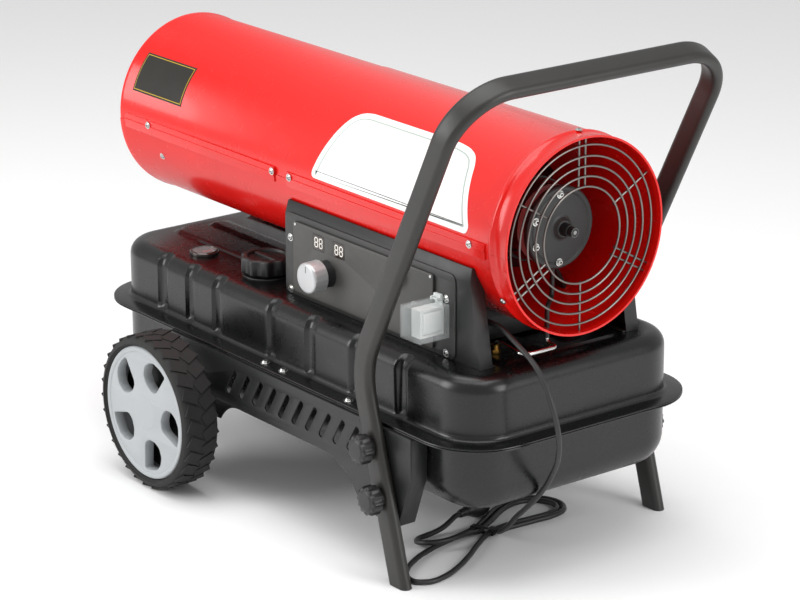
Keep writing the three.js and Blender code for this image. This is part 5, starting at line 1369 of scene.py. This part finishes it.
def makeCover(form):
    holes = [roundRectangle(x - form["displayWidth"] / 2, form["displayZ"] - form["displayHeight"] / 2,
                            x + form["displayWidth"] / 2, form["displayZ"] + form["displayHeight"] / 2,
                            0.0008, 2)
             for x in form["displays"]]
    lowX, lowZ, highX, highZ = form["panel"]
    sheet = cutSheet("sheet", [roundRectangle(form["back"], form["low"], form["front"], form["top"],
                                              form["corner"]),
                               roundRectangle(lowX + 0.003, lowZ + 0.003, highX - 0.003, highZ - 0.003,
                                              0.002, 3)],
                     form["face"], form["backFace"], 0.0006, greyPaint)
    panel = cutSheet("panel", [roundRectangle(lowX, lowZ, highX, highZ, 0.004), *holes],
                     form["panelFace"], form["panelFace"] + 0.002, 0.0007, panelPaint)
    wall = cutSheet("wall", [roundRectangle(lowX + 0.0005, lowZ + 0.0005, highX - 0.0005, highZ - 0.0005,
                                            0.0035),
                             roundRectangle(lowX + 0.0025, lowZ + 0.0025, highX - 0.0025, highZ - 0.0025,
                                            0.002, 3)],
                    form["panelFace"] + 0.001, form["face"] + 0.001, 0.0002, greyPaint)
    head = [(0, -0.0008), (0.0022, -0.0005), (0.0026, 0.001), (0, 0.001)]
    pins = [turned("pin", "y", (x, form["panelFace"], highZ - 0.004), head, screwSteel, 20)
            for x in (lowX + 0.006, highX - 0.006)]
    placed(joined("control_sheet", [sheet, panel, wall, *pins]), chassis, "grey enamel", "control_cover")


def litFigure(x, z, y, height):
    # seven strokes, all lit: place from the middle, and whether the stroke lies flat
    w, h, t = height * 0.5, height, height * 0.13
    strokes = ((0, h / 2, 1), (w / 2, h / 4, 0), (w / 2, -h / 4, 0), (0, -h / 2, 1), (-w / 2, -h / 4, 0),
               (-w / 2, h / 4, 0), (0, 0, 1))
    pieces = []
    for dx, dz, flat in strokes:
        long = (w if flat else h / 2) * 0.5 - t * 0.35
        a, b = (long, t / 2) if flat else (t / 2, long)
        pieces.append(block("stroke", (x + dx - a, y, z + dz - b), (x + dx + a, y + 0.0004, z + dz + b),
                            digitGlow, 0.0001))
    return pieces


def makeDisplays(form):
    pieces = []
    for x in form["displays"]:
        half, tall = form["displayWidth"] / 2 - 0.0004, form["displayHeight"] / 2 - 0.0004
        pieces.append(block("window", (x - half, form["panelFace"] + 0.0003, form["displayZ"] - tall),
                            (x + half, form["panelFace"] + 0.0007, form["displayZ"] + tall), displayGlass,
                            0.0001))
        for dx in (-0.0058, 0.0058):
            pieces += litFigure(x + dx, form["displayZ"], form["panelFace"] - 0.0001, 0.0145)
    placed(joined("display_figures", pieces), chassis, "pale plastic")


def makeDial(form):
    x, z = form["dial"]
    face = form["panelFace"] - 0.0003
    base = turned("dial_ring", "y", (x, face, z), [(0.0033, -0.016), (0.0200, -0.016), (0.0210, -0.0145),
                                                   (0.0210, -0.001),
                                                  (0.0216, 0), (0.0033, 0)], blackPlastic, 72, soft=0.0008)
    placed(base, chassis, "black plastic", "dial_base")
    back = face - 0.0163
    rings = []
    for radius, y in ((0.0240, 0), (0.0250, -0.0012), (0.0248, -0.0040), (0.0246, -0.0205), (0.0240, -0.0238),
                      (0.0225, -0.0256), (0.0205, -0.0260)):
        rings.append(lobedRing((x, z), radius, 18, 0.00025 if 0.003 < -y < 0.022 else 0, back + y, 180, 1.0,
                               "y"))
    skirt = lofted("skirt", rings, silverKnob, 40)
    mark = block("mark", (x - 0.0007, back - 0.0262, z + 0.009), (x + 0.0007, back - 0.0259, z + 0.019),
                 darkVinyl, 0.0001)
    spindle = turned("spindle", "y", (x, back, z), [(0, 0), (0.003, 0), (0.003, 0.036), (0, 0.036)],
                     bareSteel, 24)
    placed(joined("dial_grip", [skirt, mark, spindle]), "dial", "aluminium", "dial_knob")


def makeReset(form):
    x, z = form["reset"]
    back = form["panelFace"] - 0.0003
    rings = [lobedRing((x, z), r, 16, 0.0009 if 0.001 < -y < 0.012 else 0, back + y, 128, 1.0, "y")
             for r, y in ((0.0128, 0), (0.0140, -0.0012), (0.0140, -0.0105), (0.0132, -0.0122),
                          (0.0112, -0.013))]
    head = lofted("head", rings, blackPlastic, 40)
    stem = turned("stem", "y", (x, back, z), [(0, -0.001), (0.007, -0.001), (0.007, 0.015), (0, 0.015)],
                  blackPlastic, 32)
    placed(joined("reset_cover_cap", [head, stem]), "reset_cover", "black plastic", "reset_cap")


rockerForm = {
    "at": (0.3495, 0.392), "low": -0.1960, "high": -0.1613,
    "profile": [(-0.0015, -0.0165), (0.0030, -0.0165), (0.0052, -0.0145), (0.0066, -0.0075), (0.0070, 0.0),
                (0.0066, 0.0075), (0.0052, 0.0145), (0.0030, 0.0165), (-0.0015, 0.0165), (-0.0028, 0.0)],
}


def makeRocker(form):
    # curved rocker that faces the intake end; its outline is rounded a metre away, as the panel's is
    x, z = form["at"]
    ring = [(x + p.x - 1, z + p.y) for p in softened([(px + 1, pz) for px, pz in form["profile"]], 0.003, 3)]
    key = extruded("rocker_key", ring, form["low"], form["high"], palePlastic, 40)
    placed(bevelled(key, 0.0012, 3, 50), "rocker", "pale plastic", "rocker_switch")


makeCover(coverForm)
makeDisplays(coverForm)
makeDial(coverForm)
makeReset(coverForm)
makeRocker(rockerForm)
coverScrews = [((x, -0.1563, z), (0, -1, 0)) for x in (-0.031, 0.358) for z in (0.342, 0.426)]
screws("cover_screws", coverScrews, 0.0048, 0.0026, nodes=[f"cover_screw_{k}" for k in (1, 2, 3, 4)])
print("controls fitted")


# fuel pipe: bright metal from the tank union, then a hose up to the pump
pipeForm = {
    "radius": 0.0032,
    "corners": [(0.392, -0.092, 0.338), (0.392, -0.092, 0.358), (0.472, -0.104, 0.358),
                (0.472, -0.038, 0.358),
                (0.446, -0.038, 0.358), (0.446, -0.038, 0.412), (0.412, 0, 0.412), (0.412, 0, 0.4617)],
    "radii": [0.014, 0.014, 0.012, 0.007, 0.012, 0.014],
}


def makePipe(form):
    route = roundedRoute(form["corners"], form["radii"], 8)
    bow = sweptTube("bow", route[:37], circle(form["radius"], 20), (0, 1, 0), brightWire, 50)
    hose = sweptTube("hose", route[36:], circle(form["radius"] + 0.0006, 20), (0, 1, 0), hosePlastic, 50)
    x, y, z = form["corners"][0]
    nut = turned("union", "z", (x, y, z), [(0, 0.0003), (0.009, 0.0003), (0.009, 0.006), (0, 0.006)],
                 brassMetal, 6, soft=0.0005)
    collar = turned("collar", "z", (x, y, z), [(0, 0.006), (0.006, 0.006), (0.006, 0.0125), (0.0034, 0.014),
                                               (0, 0.014)], brassMetal, 32)
    stem = turned("stem", "z", (x, y, 0), [(0, 0.274), (0.0045, 0.274), (0.0045, 0.339), (0, 0.339)],
                  bareSteel, 24)
    placed(joined("fuel_line", [bow, hose, nut, collar, stem]), chassis, "steel", "fuel_pipe")


makePipe(pipeForm)
print("pipe run")


# plain pale floor, soft lamps and a white surround
studio = {
    "surround": 0.60,
    "lamps": [
        {"name": "overhead", "at": (0.2, -0.4, 3.0), "aim": (0, 0, 0.4), "size": (3.2, 2.2), "power": 62},
        {"name": "left", "at": (-1.6, -3.0, 1.5), "aim": (0, 0, 0.4), "size": (1.6, 2.0), "power": 58},
        {"name": "right", "at": (3.2, 0.9, 1.4), "aim": (0.1, 0, 0.4), "size": (1.4, 1.8), "power": 40},
    ],
}


def makeStudio(form):
    floor = meshPiece("floor", [(-14, -14, 0), (14, -14, 0), (14, 14, 0), (-14, 14, 0)], [(0, 1, 2, 3)],
                      finish("floor", "fafafa", 0.6, grain=30, bump=0.01, shade=0.0, wear=0.02, specular=0.2))
    world = bpy.data.worlds.new("surround")
    bpy.context.scene.world = world
    world.use_nodes = True
    tree = world.node_tree
    light, out = tree.nodes["Background"], tree.nodes["World Output"]
    light.inputs["Color"].default_value = (1, 1, 1, 1)
    light.inputs["Strength"].default_value = form["surround"]
    white = tree.nodes.new("ShaderNodeBackground")
    white.inputs["Strength"].default_value = 1.0
    path, mix = tree.nodes.new("ShaderNodeLightPath"), tree.nodes.new("ShaderNodeMixShader")
    tree.links.new(path.outputs["Is Camera Ray"], mix.inputs["Fac"])
    tree.links.new(light.outputs[0], mix.inputs[1])
    tree.links.new(white.outputs[0], mix.inputs[2])
    tree.links.new(mix.outputs[0], out.inputs["Surface"])
    for lamp in form["lamps"]:
        data = bpy.data.lights.new(lamp["name"], "AREA")
        data.shape, data.size, data.size_y, data.energy = "RECTANGLE", *lamp["size"], lamp["power"]
        item = bpy.data.objects.new(lamp["name"], data)
        bpy.context.scene.collection.objects.link(item)
        way = Vector(lamp["at"]) - Vector(lamp["aim"])
        item.matrix_world = Matrix.Translation(lamp["at"]) @ way.to_track_quat("Z", "Y").to_matrix().to_4x4()


makeStudio(studio)
bpy.context.scene.view_settings.view_transform = "Standard"
print("studio lit")
